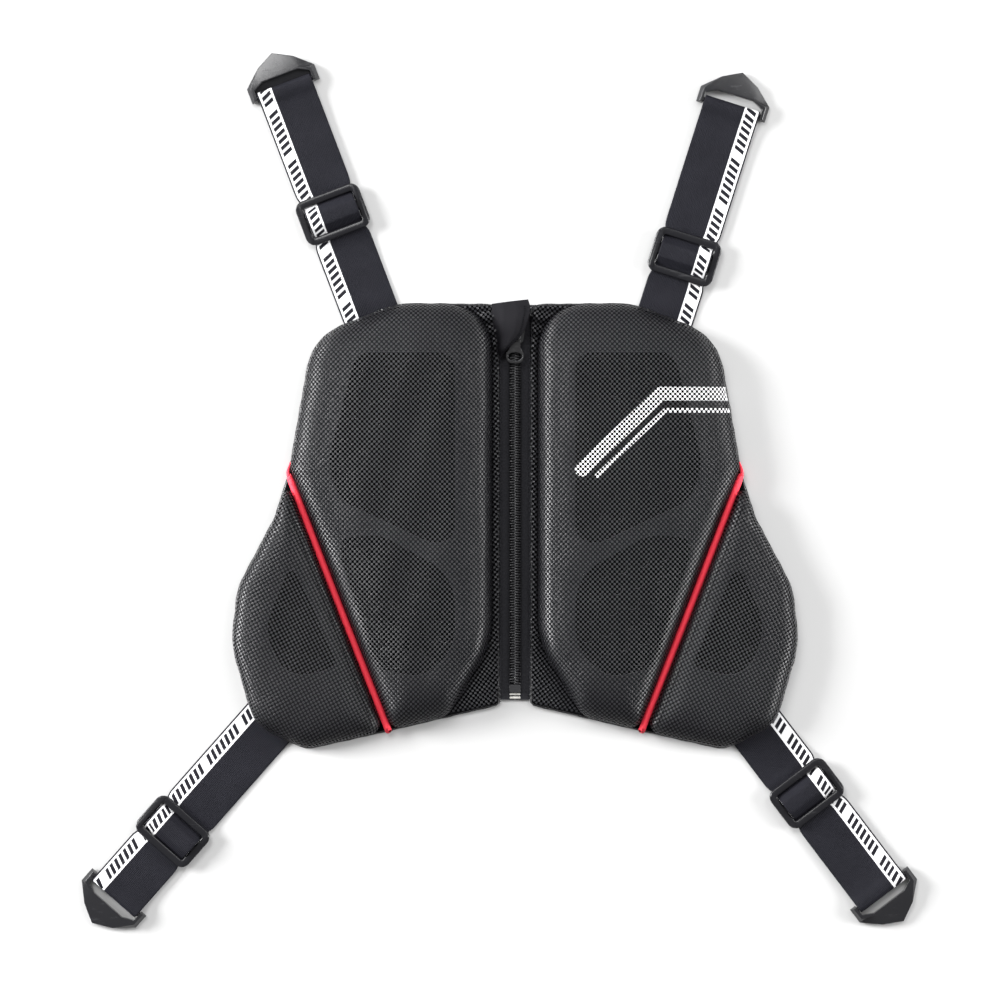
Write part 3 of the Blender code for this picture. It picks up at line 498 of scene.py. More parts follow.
netLook = {"strand": (0.0075, 0.0075, 0.0090), "glint": (0.0130, 0.0130, 0.0150), "roughness": 0.30,
           "specular": 0.38, "across": 0.0032, "along": 0.0033, "hole": -0.04, "cloud": 420.0,
           "depth": 0.0004, "holeShadeAndBacking": (0.004, 0.004, 0.004)}


def netFinish(name, turn=0.0, printed=False, seeThrough=True, gain=1.0):
    material, tree, shader = newFinish(name, netLook["roughness"], specular=netLook["specular"])
    place = weavePlace(tree, turn)
    net = placed(tree, netWeave, place, Across=netLook["across"], Along=netLook["along"],
                 Hole=netLook["hole"])
    cloudy = noisy(tree, place, netLook["cloud"], 3.0)
    strand, glint = (tuple(gain * part for part in netLook[key]) for key in ("strand", "glint"))
    colour = mixedColour(tree, cloudy, strand, glint)
    if printed:
        flat = vectorCalc(tree, "MULTIPLY", objectPlace(tree), (1.0, 1.0, 0.0))
        mask = None
        for band in (chestPrint["broad"], chestPrint["thin"]):
            for (x0, y0, half), (x1, y1, _) in zip(band, band[1:]):
                part = placed(tree, printedBand, flat, Start=(x0 * mm, y0 * mm, 0.0),
                              End=(x1 * mm, y1 * mm, 0.0), HalfWidth=half * mm)["Mask"]
                mask = part if mask is None else calc(tree, "MAXIMUM", mask, part)
        ink = calc(tree, "MULTIPLY", mask, chestPrint["cover"])
        colour = mixedColour(tree, ink, colour, chestPrint["white"])
    if seeThrough:
        tree.links.new(net["Thread"], shader.inputs["Alpha"])
    else:
        # opaque net: its holes are painted near-black, for the dark backing seen through them and the shade
        # inside them
        colour = mixedColour(tree, net["Thread"], netLook["holeShadeAndBacking"], colour)
    tree.links.new(colour, shader.inputs["Base Color"])
    bumped(tree, shader, net["Height"], netLook["depth"])
    return material


netChest = netFinish("netChest")
netChestPrinted = netFinish("netChestPrinted", printed=True)
netSide = netFinish("netSide", turn=17)
netSideMirror = netFinish("netSideMirror", turn=-17)
# the binding is the same net painted 1.7 times lighter: painted light on its strands
netBinding = netFinish("netBinding", turn=8, gain=1.7)
netLining = netFinish("netLining", seeThrough=False)


def plainFinish(name, dark, light, threads, roughness, specular=0.12, depth=0.00015):
    material, tree, shader = newFinish(name, roughness, specular=specular)
    place = weavePlace(tree)
    cloth = placed(tree, plainWeave, place, Warp=threads[0], Weft=threads[1])
    # colour darker in the weave's dips: painted shade
    tree.links.new(mixedColour(tree, cloth["Shade"], dark, light), shader.inputs["Base Color"])
    bumped(tree, shader, cloth["Height"], depth)
    return material


# thread spacings in metres: across, along
sewn, woven, coarse = (0.0005, 0.0005), (0.0007, 0.0007), (0.0009, 0.0009)
flapCloth = plainFinish("flapCloth", (0.0026, 0.0024, 0.0036), (0.0085, 0.0080, 0.0112), woven, 0.7)
zipTapeCloth = plainFinish("zipTapeCloth", (0.0060, 0.0060, 0.0075), (0.052, 0.052, 0.060),
                           (0.0009, 0.0005), 0.65)
pipingRed = plainFinish("pipingRed", (0.93, 0.034, 0.062), (1.0, 0.060, 0.100), (0.0012, 0.0009),
                        0.5, 0.35, 0.0002)
threadBlack = plainFinish("threadBlack", (0.0012, 0.0012, 0.0015), (0.004, 0.004, 0.005), sewn, 0.8, 0.02)
threadGrey = plainFinish("threadGrey", (0.010, 0.010, 0.012), (0.030, 0.030, 0.034), sewn, 0.6)
threadPale = plainFinish("threadPale", (0.50, 0.49, 0.46), (0.78, 0.77, 0.73), sewn, 0.6)
# near-black cloth: painted shade on the panel's top under the net strip and the pads
liningShade = plainFinish("liningShade", (0.0012, 0.0012, 0.0014), (0.0030, 0.0030, 0.0034), coarse,
                          0.9, 0.02)


def mouldedFinish(name, dark, light, roughness, worn, metallic=0.0, grain=2600.0, depth=0.00004,
                  specular=0.5):
    material, tree, shader = newFinish(name, roughness, metallic=metallic, specular=specular)
    place = objectPlace(tree)
    surface = placed(tree, mouldedGrain, place, Grain=grain)
    tree.links.new(mixedColour(tree, surface["Scuff"], dark, light), shader.inputs["Base Color"])
    tree.links.new(ramped(tree, surface["Scuff"], 0.0, 1.0, roughness, worn), shader.inputs["Roughness"])
    bumped(tree, shader, surface["Height"], depth)
    return material


hardwareBlack = mouldedFinish("hardwareBlack", (0.007, 0.007, 0.0085), (0.014, 0.014, 0.016), 0.24, 0.38,
                              specular=0.32)
hookBlack = mouldedFinish("hookBlack", (0.009, 0.009, 0.0105), (0.018, 0.018, 0.0205), 0.22, 0.36)
coilBlack = mouldedFinish("coilBlack", (0.026, 0.026, 0.028), (0.060, 0.060, 0.063), 0.24, 0.36)
metalBlack = mouldedFinish("metalBlack", (0.080, 0.080, 0.083), (0.180, 0.180, 0.185), 0.20, 0.32,
                           metallic=0.9, grain=1800.0)
foamDark = mouldedFinish("foamDark", (0.0055, 0.0055, 0.0065), (0.008, 0.008, 0.0095), 0.6, 0.75,
                         grain=700.0, depth=0.00015, specular=0.08)
# darker copy of the foam for the floors of the sunk fields and vents: painted shade in the recesses
foamSunkShade = mouldedFinish("foamSunkShade", (0.0012, 0.0012, 0.0014), (0.0020, 0.0020, 0.0024), 0.85, 0.95,
                         grain=700.0, depth=0.00015, specular=0.02)

# elastic strap with a white edge stripe and a plain slanted bar pattern on it
strapPrint = {"inner": 8.4, "outer": 18.0, "middle": 13.2, "barPitch": 4.4, "barShare": 0.60, "edge": 0.15,
              "barHalf": 3.4, "lean": 0.42, "group": 8, "groupShare": 0.875, "white": (0.78, 0.78, 0.79),
              # worn: the lighter black painted on the rib tops as highlight, mixed with random cloudy patches
              "pale": (0.60, 0.60, 0.61), "dark": (0.0025, 0.0025, 0.0045), "worn": (0.012, 0.012, 0.0165)}


def edged(tree, value, place, soft, rising=True):  # soft step from 0 to 1 at a place, or down from 1
    return ramped(tree, value, place - soft, place + soft, 0.0 if rising else 1.0, 1.0 if rising else 0.0)


def strapFinish():
    look = strapPrint
    material, tree, shader = newFinish("strapElastic", 0.68, specular=0.09)
    place = weavePlace(tree)
    web = placed(tree, ribbedElastic, place, Rib=0.0011, Pick=0.0008)
    u, v, _ = split(tree, place)
    # black runs from dark in the rib dips to the lighter worn colour on the rib tops: painted shade and
    # highlight, plus random cloudy patches
    black = mixedColour(tree, web["Shade"], look["dark"], look["worn"])
    soft = look["edge"] * mm
    inBand = calc(tree, "MULTIPLY", edged(tree, v, look["inner"] * mm, soft),
                  edged(tree, v, look["outer"] * mm, soft, rising=False))
    leaned = calc(tree, "MULTIPLY_ADD", v, look["lean"], u)
    bars = calc(tree, "FRACT", calc(tree, "DIVIDE", leaned, look["barPitch"] * mm))
    bars = calc(tree, "MULTIPLY", ramped(tree, bars, 0.0, 0.05),
                edged(tree, bars, look["barShare"] + 0.025, 0.025, rising=False))
    offMiddle = calc(tree, "ABSOLUTE", calc(tree, "SUBTRACT", v, look["middle"] * mm))
    bars = calc(tree, "MULTIPLY", bars, edged(tree, offMiddle, look["barHalf"] * mm, soft, rising=False))
    groups = calc(tree, "FRACT", calc(tree, "DIVIDE", leaned, look["barPitch"] * look["group"] * mm))
    inGroup = edged(tree, groups, look["groupShare"], 0.004, rising=False)
    unprinted = calc(tree, "SUBTRACT", 1.0, calc(tree, "MULTIPLY", bars, inGroup))
    white = calc(tree, "MULTIPLY", inBand, unprinted)
    # the white stripe goes paler in the rib dips as painted shade, and in random cloudy patches
    pale = mixedColour(tree, web["Shade"], look["pale"], look["white"])
    tree.links.new(mixedColour(tree, white, black, pale), shader.inputs["Base Color"])
    bumped(tree, shader, web["Height"], 0.00018)
    return material


strapElastic = strapFinish()
print("chest protector: finishes made")

# heights in mm above the zero of the CAD frame, where the part rests
level = {"tape": 1.4, "tapeTop": 2.1, "cover": 4.0, "tab": 7.1, "bridgeTop": 9.6}
bothSides = ((-1, "l"), (1, "r"))

# crowned pads of net over armour: rim rows are how far in the edge is pinched and its height in mm
crown = {
    "chest": {"edge": chestEdge, "spine": [(0.2535, -0.508), (0.293, 0.576)], "rise": 20.0},
    "side": {"edge": sideEdge, "spine": [(0.732, -0.712), (0.800, -0.237)], "rise": 15.0},
    "rim": [(0.0, 3.55), (0.7, 4.3), (0.0, 5.3)], "pinchOver": 40, "rimHeight": 3.0, "power": 5.0,
    "netGap": 1.5, "roundPoints": 300, "steepRings": 20, "steepTo": 73, "innerRings": 10, "last": 0.04,
    "ripple": 0.18, "rippleFrom": 12, "rippleOver": 8,
}


def zippedCap(ring, start, spine):  # triangles across the thin last ring, along the spine
    a, b = (bodyPoint(*row) for row in spine)
    axis = unit(b - a)
    along = (ring[:, :2] - a) @ axis
    count = len(ring)
    low, high = int(along.argmin()), int(along.argmax())
    left, right = [low], [low]
    while left[-1] != high:
        left.append((left[-1] + 1) % count)
    while right[-1] != high:
        right.append((right[-1] - 1) % count)
    faces, i, j = [], 0, 0
    while i < len(left) - 1 or j < len(right) - 1:
        stepLeft = j == len(right) - 1 or (i < len(left) - 1 and along[left[i + 1]] < along[right[j + 1]])
        if stepLeft:
            corners = (left[i], left[i + 1], right[j])
            i += 1
        else:
            corners = (left[i], right[j + 1], right[j])
            j += 1
        if len(set(corners)) == 3:
            faces.append(tuple(start + k for k in corners))
    return faces


def crownRings(edge, spine, rise, drop, rings):
    a, b = (bodyPoint(*row) for row in spine)
    axis = b - a
    share = np.clip(((edge - a) @ axis) / (axis @ axis), 0, 1)
    feet = a + share[:, None] * axis
    far = np.linalg.norm(edge - feet, axis=1)
    out = (edge - feet) / far[:, None]
    rim = level["cover"] + crown["rimHeight"]
    reaches, heights = [], []
    for reach, height in rings:
        reaches.append(reach if np.ndim(reach) else np.full(len(edge), reach))
        heights.append(height)
    angles = np.radians(np.linspace(0, crown["steepTo"], crown["steepRings"]))
    inner = np.linspace(math.cos(angles[-1]) ** (2 / crown["power"]), crown["last"], crown["innerRings"])[1:]
    for reach in [math.cos(x) ** (2 / crown["power"]) for x in angles] + list(inner):
        reaches.append(np.full(len(edge), reach))
        swell = math.sqrt(max(0.0, 1 - reach ** crown["power"]))
        heights.append(rim + (rise - crown["rimHeight"]) * swell - drop)
    reaches, heights = np.array(reaches), np.array(heights) * mm
    spread = reaches * far
    steps = np.hypot(np.diff(spread, axis=0), np.diff(heights)[:, None])
    arcs = np.zeros_like(spread)
    arcs[-1] = spread[-1]
    for k in range(len(spread) - 2, -1, -1):
        arcs[k] = arcs[k + 1] + steps[k]
    points, weave = [], []
    for k in range(len(spread)):
        xy = feet + out * spread[k][:, None]
        points.append(np.column_stack([xy, np.full(len(xy), heights[k])]))
        weave.append(feet + out * arcs[k][:, None])
    return np.vstack(points), np.vstack(weave), len(spread)


def cappedRings(points, rows, count, spine):  # faces of a crown, closed at its top
    top = (rows - 1) * count
    return gridFaces(rows, count, wrap=True) + zippedCap(points[top:], top, spine)


def padCover(kind, side, tag):
    shape = crown[kind]
    count = crown["roundPoints"]
    rim = [(1 - inset / crown["pinchOver"], height) for inset, height in crown["rim"]]
    edge = edgeLine(shape["edge"], count)
    points, weave, rows = crownRings(edge, shape["spine"], shape["rise"], 0.0, rim)
    faces = cappedRings(points, rows, count, shape["spine"])
    x, y = points[:, 0], points[:, 1]
    hill = np.clip((points[:, 2] - crown["rippleFrom"] * mm) / (crown["rippleOver"] * mm), 0, 1)
    points[:, 2] += crown["ripple"] * mm * hill * (np.sin(x * 190 + y * 70) + np.sin(y * 150 - x * 60 + 1.3))
    if side < 0:
        points, faces, weave = mirrorMesh(points, faces, weave)
    return meshPiece(f"{kind}_net_{tag}", points, faces, weave)


# sunk fields of the armour and their vent holes
armourShape = {
    "fieldDepth": 3.2, "hole": 8.6, "pitch": 14.2, "holeEdge": 1.3, "roundPoints": 110,
    "fieldPoints": 64, "fewPoints": 20, "ventSides": 20, "reach": 9, "under": -10, "over": 50, "crease": 35,
    "chest": [
        {"rows": -9, "bare": (0.20, 0.50), "corners": [
            (0.168, -0.055, 0.25), (0.240, -0.095, 0.5), (0.600, 0.110, 0.5), (0.640, 0.280, 0.6),
            (0.535, 0.770, 0.25), (0.168, 0.770, 0.25)]},
        {"rows": 17, "bare": None, "corners": [
            (0.168, -0.560, 0.8), (0.290, -0.690, 0.5), (0.470, -0.640, 0.25), (0.610, -0.060, 0.2),
            (0.440, -0.050, 0.6), (0.168, -0.230, 0.8)]},
    ],
    "side": [{"rows": 17, "bare": None, "corners": [
        (0.600, -0.640, 0.15), (0.800, -0.700, 0.5), (0.880, -0.470, 0.8), (0.775, -0.160, 0.12)]}],
}


def fieldLine(corners, count):
    points = [bodyPoint(across, along) for across, along, _ in corners]
    return evenly(roundedCorners(points, [r * halfBody["cornerRound"] for _, _, r in corners]), count)


def ventCentres(field):
    turn = math.radians(field["rows"])
    coarse = fieldLine(field["corners"], armourShape["fewPoints"])
    pitch = armourShape["pitch"] * mm
    steps = [np.array([math.cos(a), math.sin(a)]) * pitch for a in (turn, turn + math.pi / 3)]
    around = range(-armourShape["reach"], armourShape["reach"] + 1)
    spots = np.array([coarse.mean(0) + steps[0] * i + steps[1] * j for i in around for j in around])
    keepOff = (armourShape["hole"] / 2 + armourShape["holeEdge"]) * mm
    good = insideOf(spots, coarse) & (distanceTo(spots, coarse) >= keepOff)
    if field["bare"]:
        high = spots[:, 1] / halfBody["halfHeight"]
        good &= ~((high > field["bare"][0]) & (high < field["bare"][1]))
    return spots[good]


def prismMesh(name, outlines, low, high):
    points, faces = [], []
    for outline in outlines:
        start, count = len(points), len(outline)
        points += [(x, y, low) for x, y in outline] + [(x, y, high) for x, y in outline]
        faces += [tuple(start + i for i in f) for f in gridFaces(2, count, wrap=True)]
        faces.append(tuple(range(start + count - 1, start - 1, -1)))
        faces.append(tuple(range(start + count, start + 2 * count)))
    return turnedOut(meshPiece(name, points, faces))


def ventRings(fields):
    angles = np.linspace(0, 2 * math.pi, armourShape["ventSides"], endpoint=False)
    ring = np.column_stack([np.cos(angles), np.sin(angles)]) * armourShape["hole"] / 2 * mm
    return [centre + ring for field in fields for centre in ventCentres(field)]


def padArmour(kind, side, tag):
    shape = crown[kind]
    count = armourShape["roundPoints"]
    edge = shrunk(edgeLine(shape["edge"], count), crown["netGap"] * mm)
    points, weave, rows = crownRings(edge, shape["spine"], shape["rise"], crown["netGap"],
                                     [(1.0, level["cover"])])
    faces = cappedRings(points, rows, count, shape["spine"])
    faces.append(tuple(range(count - 1, -1, -1)))
    piece = turnedOut(meshPiece(f"{kind}_armour_pad_{tag}", points, faces))
    floor = (level["cover"] + shape["rise"] - crown["netGap"] - armourShape["fieldDepth"]) * mm
    under, over = armourShape["under"] * mm, armourShape["over"] * mm
    fields = [fieldLine(field["corners"], armourShape["fieldPoints"]) for field in armourShape[kind]]
    vents = ventRings(armourShape[kind])
    cutters = [prismMesh("fields", fields, floor, over), prismMesh("vents", vents, under, over)]
    for cutter in cutters:
        change = piece.modifiers.new("cut", "BOOLEAN")
        change.operation = "DIFFERENCE"
        change.solver = "MANIFOLD"
        change.object = cutter
    applied(piece)
    for cutter in cutters:
        bpy.data.objects.remove(cutter, do_unlink=True)
    shown = piece.data
    shown.materials.clear()
    shown.materials.append(foamDark)
    shown.materials.append(foamSunkShade)
    # floor faces of the sunk fields and vents get the darker foam as painted shade
    centres = np.array([tuple(f.center) for f in shown.polygons])
    sunk = centres[:, 2] < floor + 0.1 * mm
    deep = np.zeros(len(centres), bool)
    for outline in fields:
        deep |= insideOf(centres[:, :2], outline) & sunk
    for vent in vents:
        far = np.hypot(*(centres[:, :2] - vent.mean(0)).T)
        deep |= (far < armourShape["hole"] * 0.52 * mm) & sunk
    shown.polygons.foreach_set("material_index", deep.astype(np.int32))
    if side < 0:
        for vertex in shown.vertices:
            vertex.co.x *= -1
        shown.flip_normals()
    shown.shade_smooth()
    shown.set_sharp_from_angle(angle=math.radians(armourShape["crease"]))
    return piece


# stitches along the wing, beside the piping
wingSeamShape = {"from": 0.04, "to": 0.90, "points": 90, "beside": 8.2, "lowest": 6, "lift": 0.05,
                 "pitch": 3.2, "radius": 0.24}


def wingSeam(cover, side, tag):
    seam = wingSeamShape
    surface = BVHTree.FromObject(cover, bpy.context.evaluated_depsgraph_get())
    foot, head = bodyPoint(*halfBody["pipingFoot"][:2]), bodyPoint(*halfBody["waist"][:2])
    beside = -leftOf(unit(head - foot)) * seam["beside"] * mm
    line = []
    for share in np.linspace(seam["from"], seam["to"], seam["points"]):
        x, y = foot + (head - foot) * share + beside
        hit = surface.ray_cast(Vector((x * side, y, 0.1)), Vector((0, 0, -1)))[0]
        if hit is not None and hit.z > seam["lowest"] * mm:
            line.append((hit.x, hit.y, hit.z + seam["lift"] * mm))
    return seamThread(f"wing_seam_{tag}", line, seam["pitch"] * mm, seam["radius"] * mm)


netOf = {"chest_l": netChest, "chest_r": netChestPrinted, "side_l": netSideMirror, "side_r": netSide}
for side, tag in bothSides:
    for kind in ("chest", "side"):
        cover = padCover(kind, side, tag)
        dressed(cover, netOf[f"{kind}_{tag}"], "protector", "mesh", f"{kind}_cover_{tag}")
        armour = padArmour(kind, side, tag)
        dressed(armour, [foamDark, foamSunkShade], "protector", "foam", f"{kind}_armour_{tag}")
        if kind == "side":
            dressed(wingSeam(cover, side, tag), threadBlack, "protector", "cloth")
print("chest protector: pads and armour made")

# back panels with a soft rolled edge: roll rows are the inset and the height in mm
panelShape = {"points": 260, "ripple": 0.22, "rippleTurns": (61, 37), "rippleBelow": 3.3, "crease": 60,
              "roll": [(5.0, 0.15), (1.6, 0.15), (0.5, 0.7), (0.0, 1.9), (0.35, 3.0), (1.3, 3.62),
                       (4.0, 3.6)]}


def backPanel(side, tag):
    count = panelShape["points"]
    outline = edgeLine(panelEdge, count)
    first, second = panelShape["rippleTurns"]
    points, weave = [], []
    turns = np.arange(count) * 2 * math.pi / count
    wave = panelShape["ripple"] * mm * (np.sin(turns * first) + 0.6 * np.sin(turns * second + 1))
    for inset, z in panelShape["roll"]:
        ring = shrunk(outline, inset * mm + (wave if z < panelShape["rippleBelow"] else 0.0) * 0.6)
        points += [(x, y, z * mm) for x, y in ring]
        weave += [(x + inset * mm, y + z * mm) for x, y in ring]
    rows = len(panelShape["roll"])
    faces = gridFaces(rows, count, wrap=True)
    faces += [tuple(range((rows - 1) * count, rows * count)), tuple(range(count - 1, -1, -1))]
    if side < 0:
        points, faces, weave = mirrorMesh(points, faces, weave)
    return turnedOut(meshPiece(f"panel_{tag}", points, faces, weave, panelShape["crease"]))


# net strip between a chest pad and the zip, gathered at the collar
stripShape = {
    "rows": 170, "columns": 13, "foot": -119.2, "head": 145.2, "zipEdge": 9.7, "under": 0.8, "slant": 0.236,
    "slantEnds": 5, "base": 3.75, "sewn": 2.3, "ends": 2.6, "roll": 1.5, "narrow": 9, "wideRoll": 0.65,
    "gather": 1.5, "gatherPitch": 9.5, "gatherFrom": 96, "gatherOver": 50,
    "flat": (0.026, 0.265), "slack": 1.05,
}


def chestInnerX(outline, y):
    a, b = outline, np.roll(outline, -1, 0)
    hit = (a[:, 1] > y) != (b[:, 1] > y)
    if not hit.any():
        return None
    at = a[hit, 0] + (b[hit, 0] - a[hit, 0]) * (y - a[hit, 1]) / (b[hit, 1] - a[hit, 1])
    return float(at.min())


def stripHeight(x, y, s, wide):  # mm, with a soft roll and with gathers near the collar
    shape = stripShape
    bulge = math.sin(math.pi * min(1.0, s * 1.02)) ** 0.7
    up = max(0.0, y - shape["gatherFrom"]) / shape["gatherOver"]
    roll = shape["roll"] * (1.0 if wide < shape["narrow"] else shape["wideRoll"])
    phase = 2 * math.pi * (y + 0.35 * x) / shape["gatherPitch"] + 2.0 * math.sin(x * 0.12)
    fall = roll * (1 + 1.1 * min(1.0, up * 1.3)) + shape["gather"] * min(1.0, up * 1.4) * math.sin(phase)
    return shape["base"] + bulge * (fall + 0.16 * math.sin(y * 0.55 + x * 0.3))


def zipStrip(side, tag):
    shape = stripShape
    outline = edgeLine(chestEdge, 400)
    low, high = outline[:, 1].min() + 0.3 * mm, outline[:, 1].max() - 0.3 * mm
    border, zipEdge = halfBody["zipBorder"], shape["zipEdge"] * mm
    points, weave = [], []
    for i in range(shape["rows"]):
        t = i / (shape["rows"] - 1)
        y0 = (shape["foot"] + t * (shape["head"] - shape["foot"])) * mm
        slant = shape["slant"] * max(0.0, 1 - t * shape["slantEnds"])
        for j in range(shape["columns"]):
            s = j / (shape["columns"] - 1)
            y = y0
            for _ in range(6):  # settles on the slanted row
                reach = chestInnerX(outline, min(max(y, low), high))
                x = zipEdge + s * (reach + shape["under"] * mm - zipEdge)
                y = y0 - (x - border) * slant
            z = shape["sewn"] if s == 0 else stripHeight(x / mm, y / mm, s, (reach - border) / mm)
            if i in (0, shape["rows"] - 1):
                z = shape["ends"]
            points.append((x, y, z * mm))
            weave.append((x, y))
    faces = [tuple(reversed(f)) for f in gridFaces(shape["rows"], shape["columns"])]
    if side < 0:
        points, faces, weave = mirrorMesh(points, faces, weave)
    return smoothed(meshPiece(f"zip_side_net_{tag}", points, faces, weave))


for side, tag in bothSides:
    panel = backPanel(side, tag)
    # the panel's top faces get the near-black liningShade: painted shade under the net strip and the pads
    for face in panel.data.polygons:
        face.material_index = 1 if face.normal.z > 0.9 else 0
    dressed(panel, [netLining, liningShade], "protector", "mesh", f"back_panel_{tag}")
    strip = dressed(zipStrip(side, tag), netBinding, "protector", "mesh")
print("chest protector: back panels made")

# red piping between chest pad and side wing
pipingShape = {"radius": 2.3, "sides": 18, "foot": (0.55, 0.85, 0.96), "tail": 14, "tailEnd": 0.22}


def pipingPath(side):
    foot = bodyPoint(*halfBody["pipingFoot"][:2]) / mm
    head = bodyPoint(*halfBody["waist"][:2]) / mm
    run = unit(head - foot)
    out = np.array([run[1], -run[0]])
    keys = [  # from the foot up to the waist, then round the waist corner
        (*(foot + run * 1.2), 4.6), (*(foot + run * 3.0), 5.9), (*(foot + run * 9), 6.2),
        (*(foot * 0.5 + head * 0.5 + out * 0.25), 6.3), (*(head - run * 9), 6.2),
        (*(head - run * 3.5), 6.0), (*(head - run * 0.6 + out * 0.2), 5.0),
        (*(head + run * 0.8 + (-0.5, 1.2)), 4.0), (*(head + run * 0.6 + (-1.0, 3.6)), 3.2),
        (*(head + run * 0.6 + (-1.9, 6.6)), 2.6),
    ]
    line = evenly(throughPoints(keys, 160), 130, closed=False)
    line[:, 0] *= side
    return line * mm


for side, tag in bothSides:
    path = pipingPath(side)
    radii = np.full(len(path), pipingShape["radius"] * mm)
    radii[:len(pipingShape["foot"])] *= pipingShape["foot"]
    radii[-pipingShape["tail"]:] *= np.linspace(1.0, pipingShape["tailEnd"], pipingShape["tail"])
    cord = meshPiece(f"piping_cord_{tag}", *tube(path, radii, pipingShape["sides"]))
    dressed(cord, pipingRed, "protector", "piping", f"piping_{tag}")
print("chest protector: piping made")

# zip: woven tapes, coil halves with their sewing thread, stop, slider and pull tab
zipShape = {
    "chainFoot": -106.2, "chainHead": 132.0, "tapeFoot": -116.5, "tapeHead": 145.3, "tapeRows": 120,
    "tapeAcross": [0.4, 0.7, 2.0, 4.0, 6.0, 8.0, 10.0, 13.0, 16.0], "tapeEdge": 0.12, "tapeWave": 0.06,
    "partedAbove": 129, "partedTo": 1.9, "sliderY": 128.03, "tabY": 125.63,
    "tooth": 1.72, "toothRadius": 0.56, "toothSides": 7, "toothHead": 1.12,
}
# one turn of the coil: across from the middle, share of the way along, height, in mm
coilTurn = [(2.9, -0.30, 2.95), (3.55, -0.24, 3.3), (3.35, -0.12, 4.05), (2.3, 0.0, 4.22),
            (0.9, 0.08, 4.2), (-0.25, 0.12, 3.9), (-0.3, 0.18, 3.2), (0.6, 0.25, 2.95)]
# straight seams of the zip: across, foot, head, height, stitch pitch and thread radius in mm
zipSeams = {
    "coil": [("coil_thread_0", 2.55, -106.2, 132.0, 4.62, 3.44, 0.22, threadBlack),
             ("coil_thread_1", 3.15, -106.2, 132.0, 4.62, 3.44, 0.22, threadBlack)],
    "tape": [("tape_seam", 8.6, -115.5, 128.0, 2.2, 2.6, 0.24, threadGrey)],
}


def zipTape(side, tag):
    shape, across = zipShape, zipShape["tapeAcross"]
    rows, columns = shape["tapeRows"], len(across)
    points, weave = [], []
    for top in (True, False):
        for i in range(rows):
            y = shape["tapeFoot"] + (shape["tapeHead"] - shape["tapeFoot"]) * i / (rows - 1)
            for x in across:
                edge = shape["tapeEdge"] if x == across[0] else 0.0
                wave = shape["tapeWave"] * math.sin(y * 0.21 + x) if across[2] < x <= across[5] else 0.0
                if y > shape["partedAbove"]:
                    x = max(x, shape["partedTo"])
                high = level["tapeTop"] - edge + wave if top else level["tape"] + edge
                points.append((side * x * mm, y * mm, high * mm))
                weave.append((x * mm, y * mm))
    front = gridFaces(rows, columns)
    under = rows * columns
    back = [tuple(reversed([k + under for k in f])) for f in front]
    rim = [i * columns for i in range(rows)] + [(rows - 1) * columns + j for j in range(1, columns)]
    rim += [i * columns + columns - 1 for i in range(rows - 2, -1, -1)] + list(range(columns - 2, 0, -1))
    walls = [(a, b, b + under, a + under) for a, b in zip(rim, rim[1:] + rim[:1])]
    return turnedOut(meshPiece(f"zip_tape_cloth_{tag}", points, front + back + walls, weave, 50))


def coilHalf(side, tag):
    points, faces = [], []
    pitch = zipShape["tooth"]
    shift = 0.7 + (0.0 if side > 0 else pitch / 2)  # the two halves mesh half a tooth apart
    count = int((zipShape["chainHead"] - zipShape["chainFoot"] - 1.2) / pitch)
    loop = throughPoints(coilTurn, 15)
    thick = np.full(len(loop), zipShape["toothRadius"])
    thick[9:12] *= zipShape["toothHead"]
    for n in range(count):
        base = zipShape["chainFoot"] + shift + n * pitch
        path = np.column_stack([side * loop[:, 0], base + loop[:, 1], loop[:, 2]])
        p, f, _ = tube(path * mm, thick * mm, zipShape["toothSides"])
        start = len(points)
        points += list(p)
        faces += [tuple(start + k for k in face) for face in f]
    weave = [(p[0], p[1]) for p in points]
    return meshPiece(f"zip_coil_{tag}", points, faces, weave)


def sewnZip(part, side, tag):
    for name, x, foot, head, high, pitch, radius, finish in zipSeams[part]:
        line = np.array([(side * x, foot, high), (side * x, head, high)]) * mm
        seam = seamThread(f"{name}_{tag}", line, pitch * mm, radius * mm)
        dressed(seam, finish, "protector", "cloth")


for side, tag in bothSides:
    dressed(zipTape(side, tag), zipTapeCloth, "protector", "cloth", f"zip_tape_{tag}")
    dressed(coilHalf(side, tag), coilBlack, "protector", "zip_coil", f"zip_chain_{tag}")
    sewnZip("coil", side, tag)
for side, tag in bothSides:
    sewnZip("tape", side, tag)


def refined(node, name, bevel, angle=24, segments=3):  # the CAD node's faces with soft edges
    shape = bmesh.new()
    shape.from_mesh(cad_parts[node].data)
    bmesh.ops.remove_doubles(shape, verts=shape.verts, dist=0.002 * mm)
    flatAngle = math.radians(1.5)
    bmesh.ops.dissolve_limit(shape, angle_limit=flatAngle, verts=shape.verts, edges=shape.edges)
    shape.verts.index_update()
    points = [tuple(v.co) for v in shape.verts]
    faces = [[v.index for v in f.verts] for f in shape.faces]
    shape.free()
    piece = meshPiece(name, points, faces)
    change = piece.modifiers.new("edges", "BEVEL")
    change.width = bevel * mm
    change.segments = segments
    change.limit_method = "ANGLE"
    change.angle_limit = math.radians(angle)
    change.harden_normals = True
    return applied(piece)


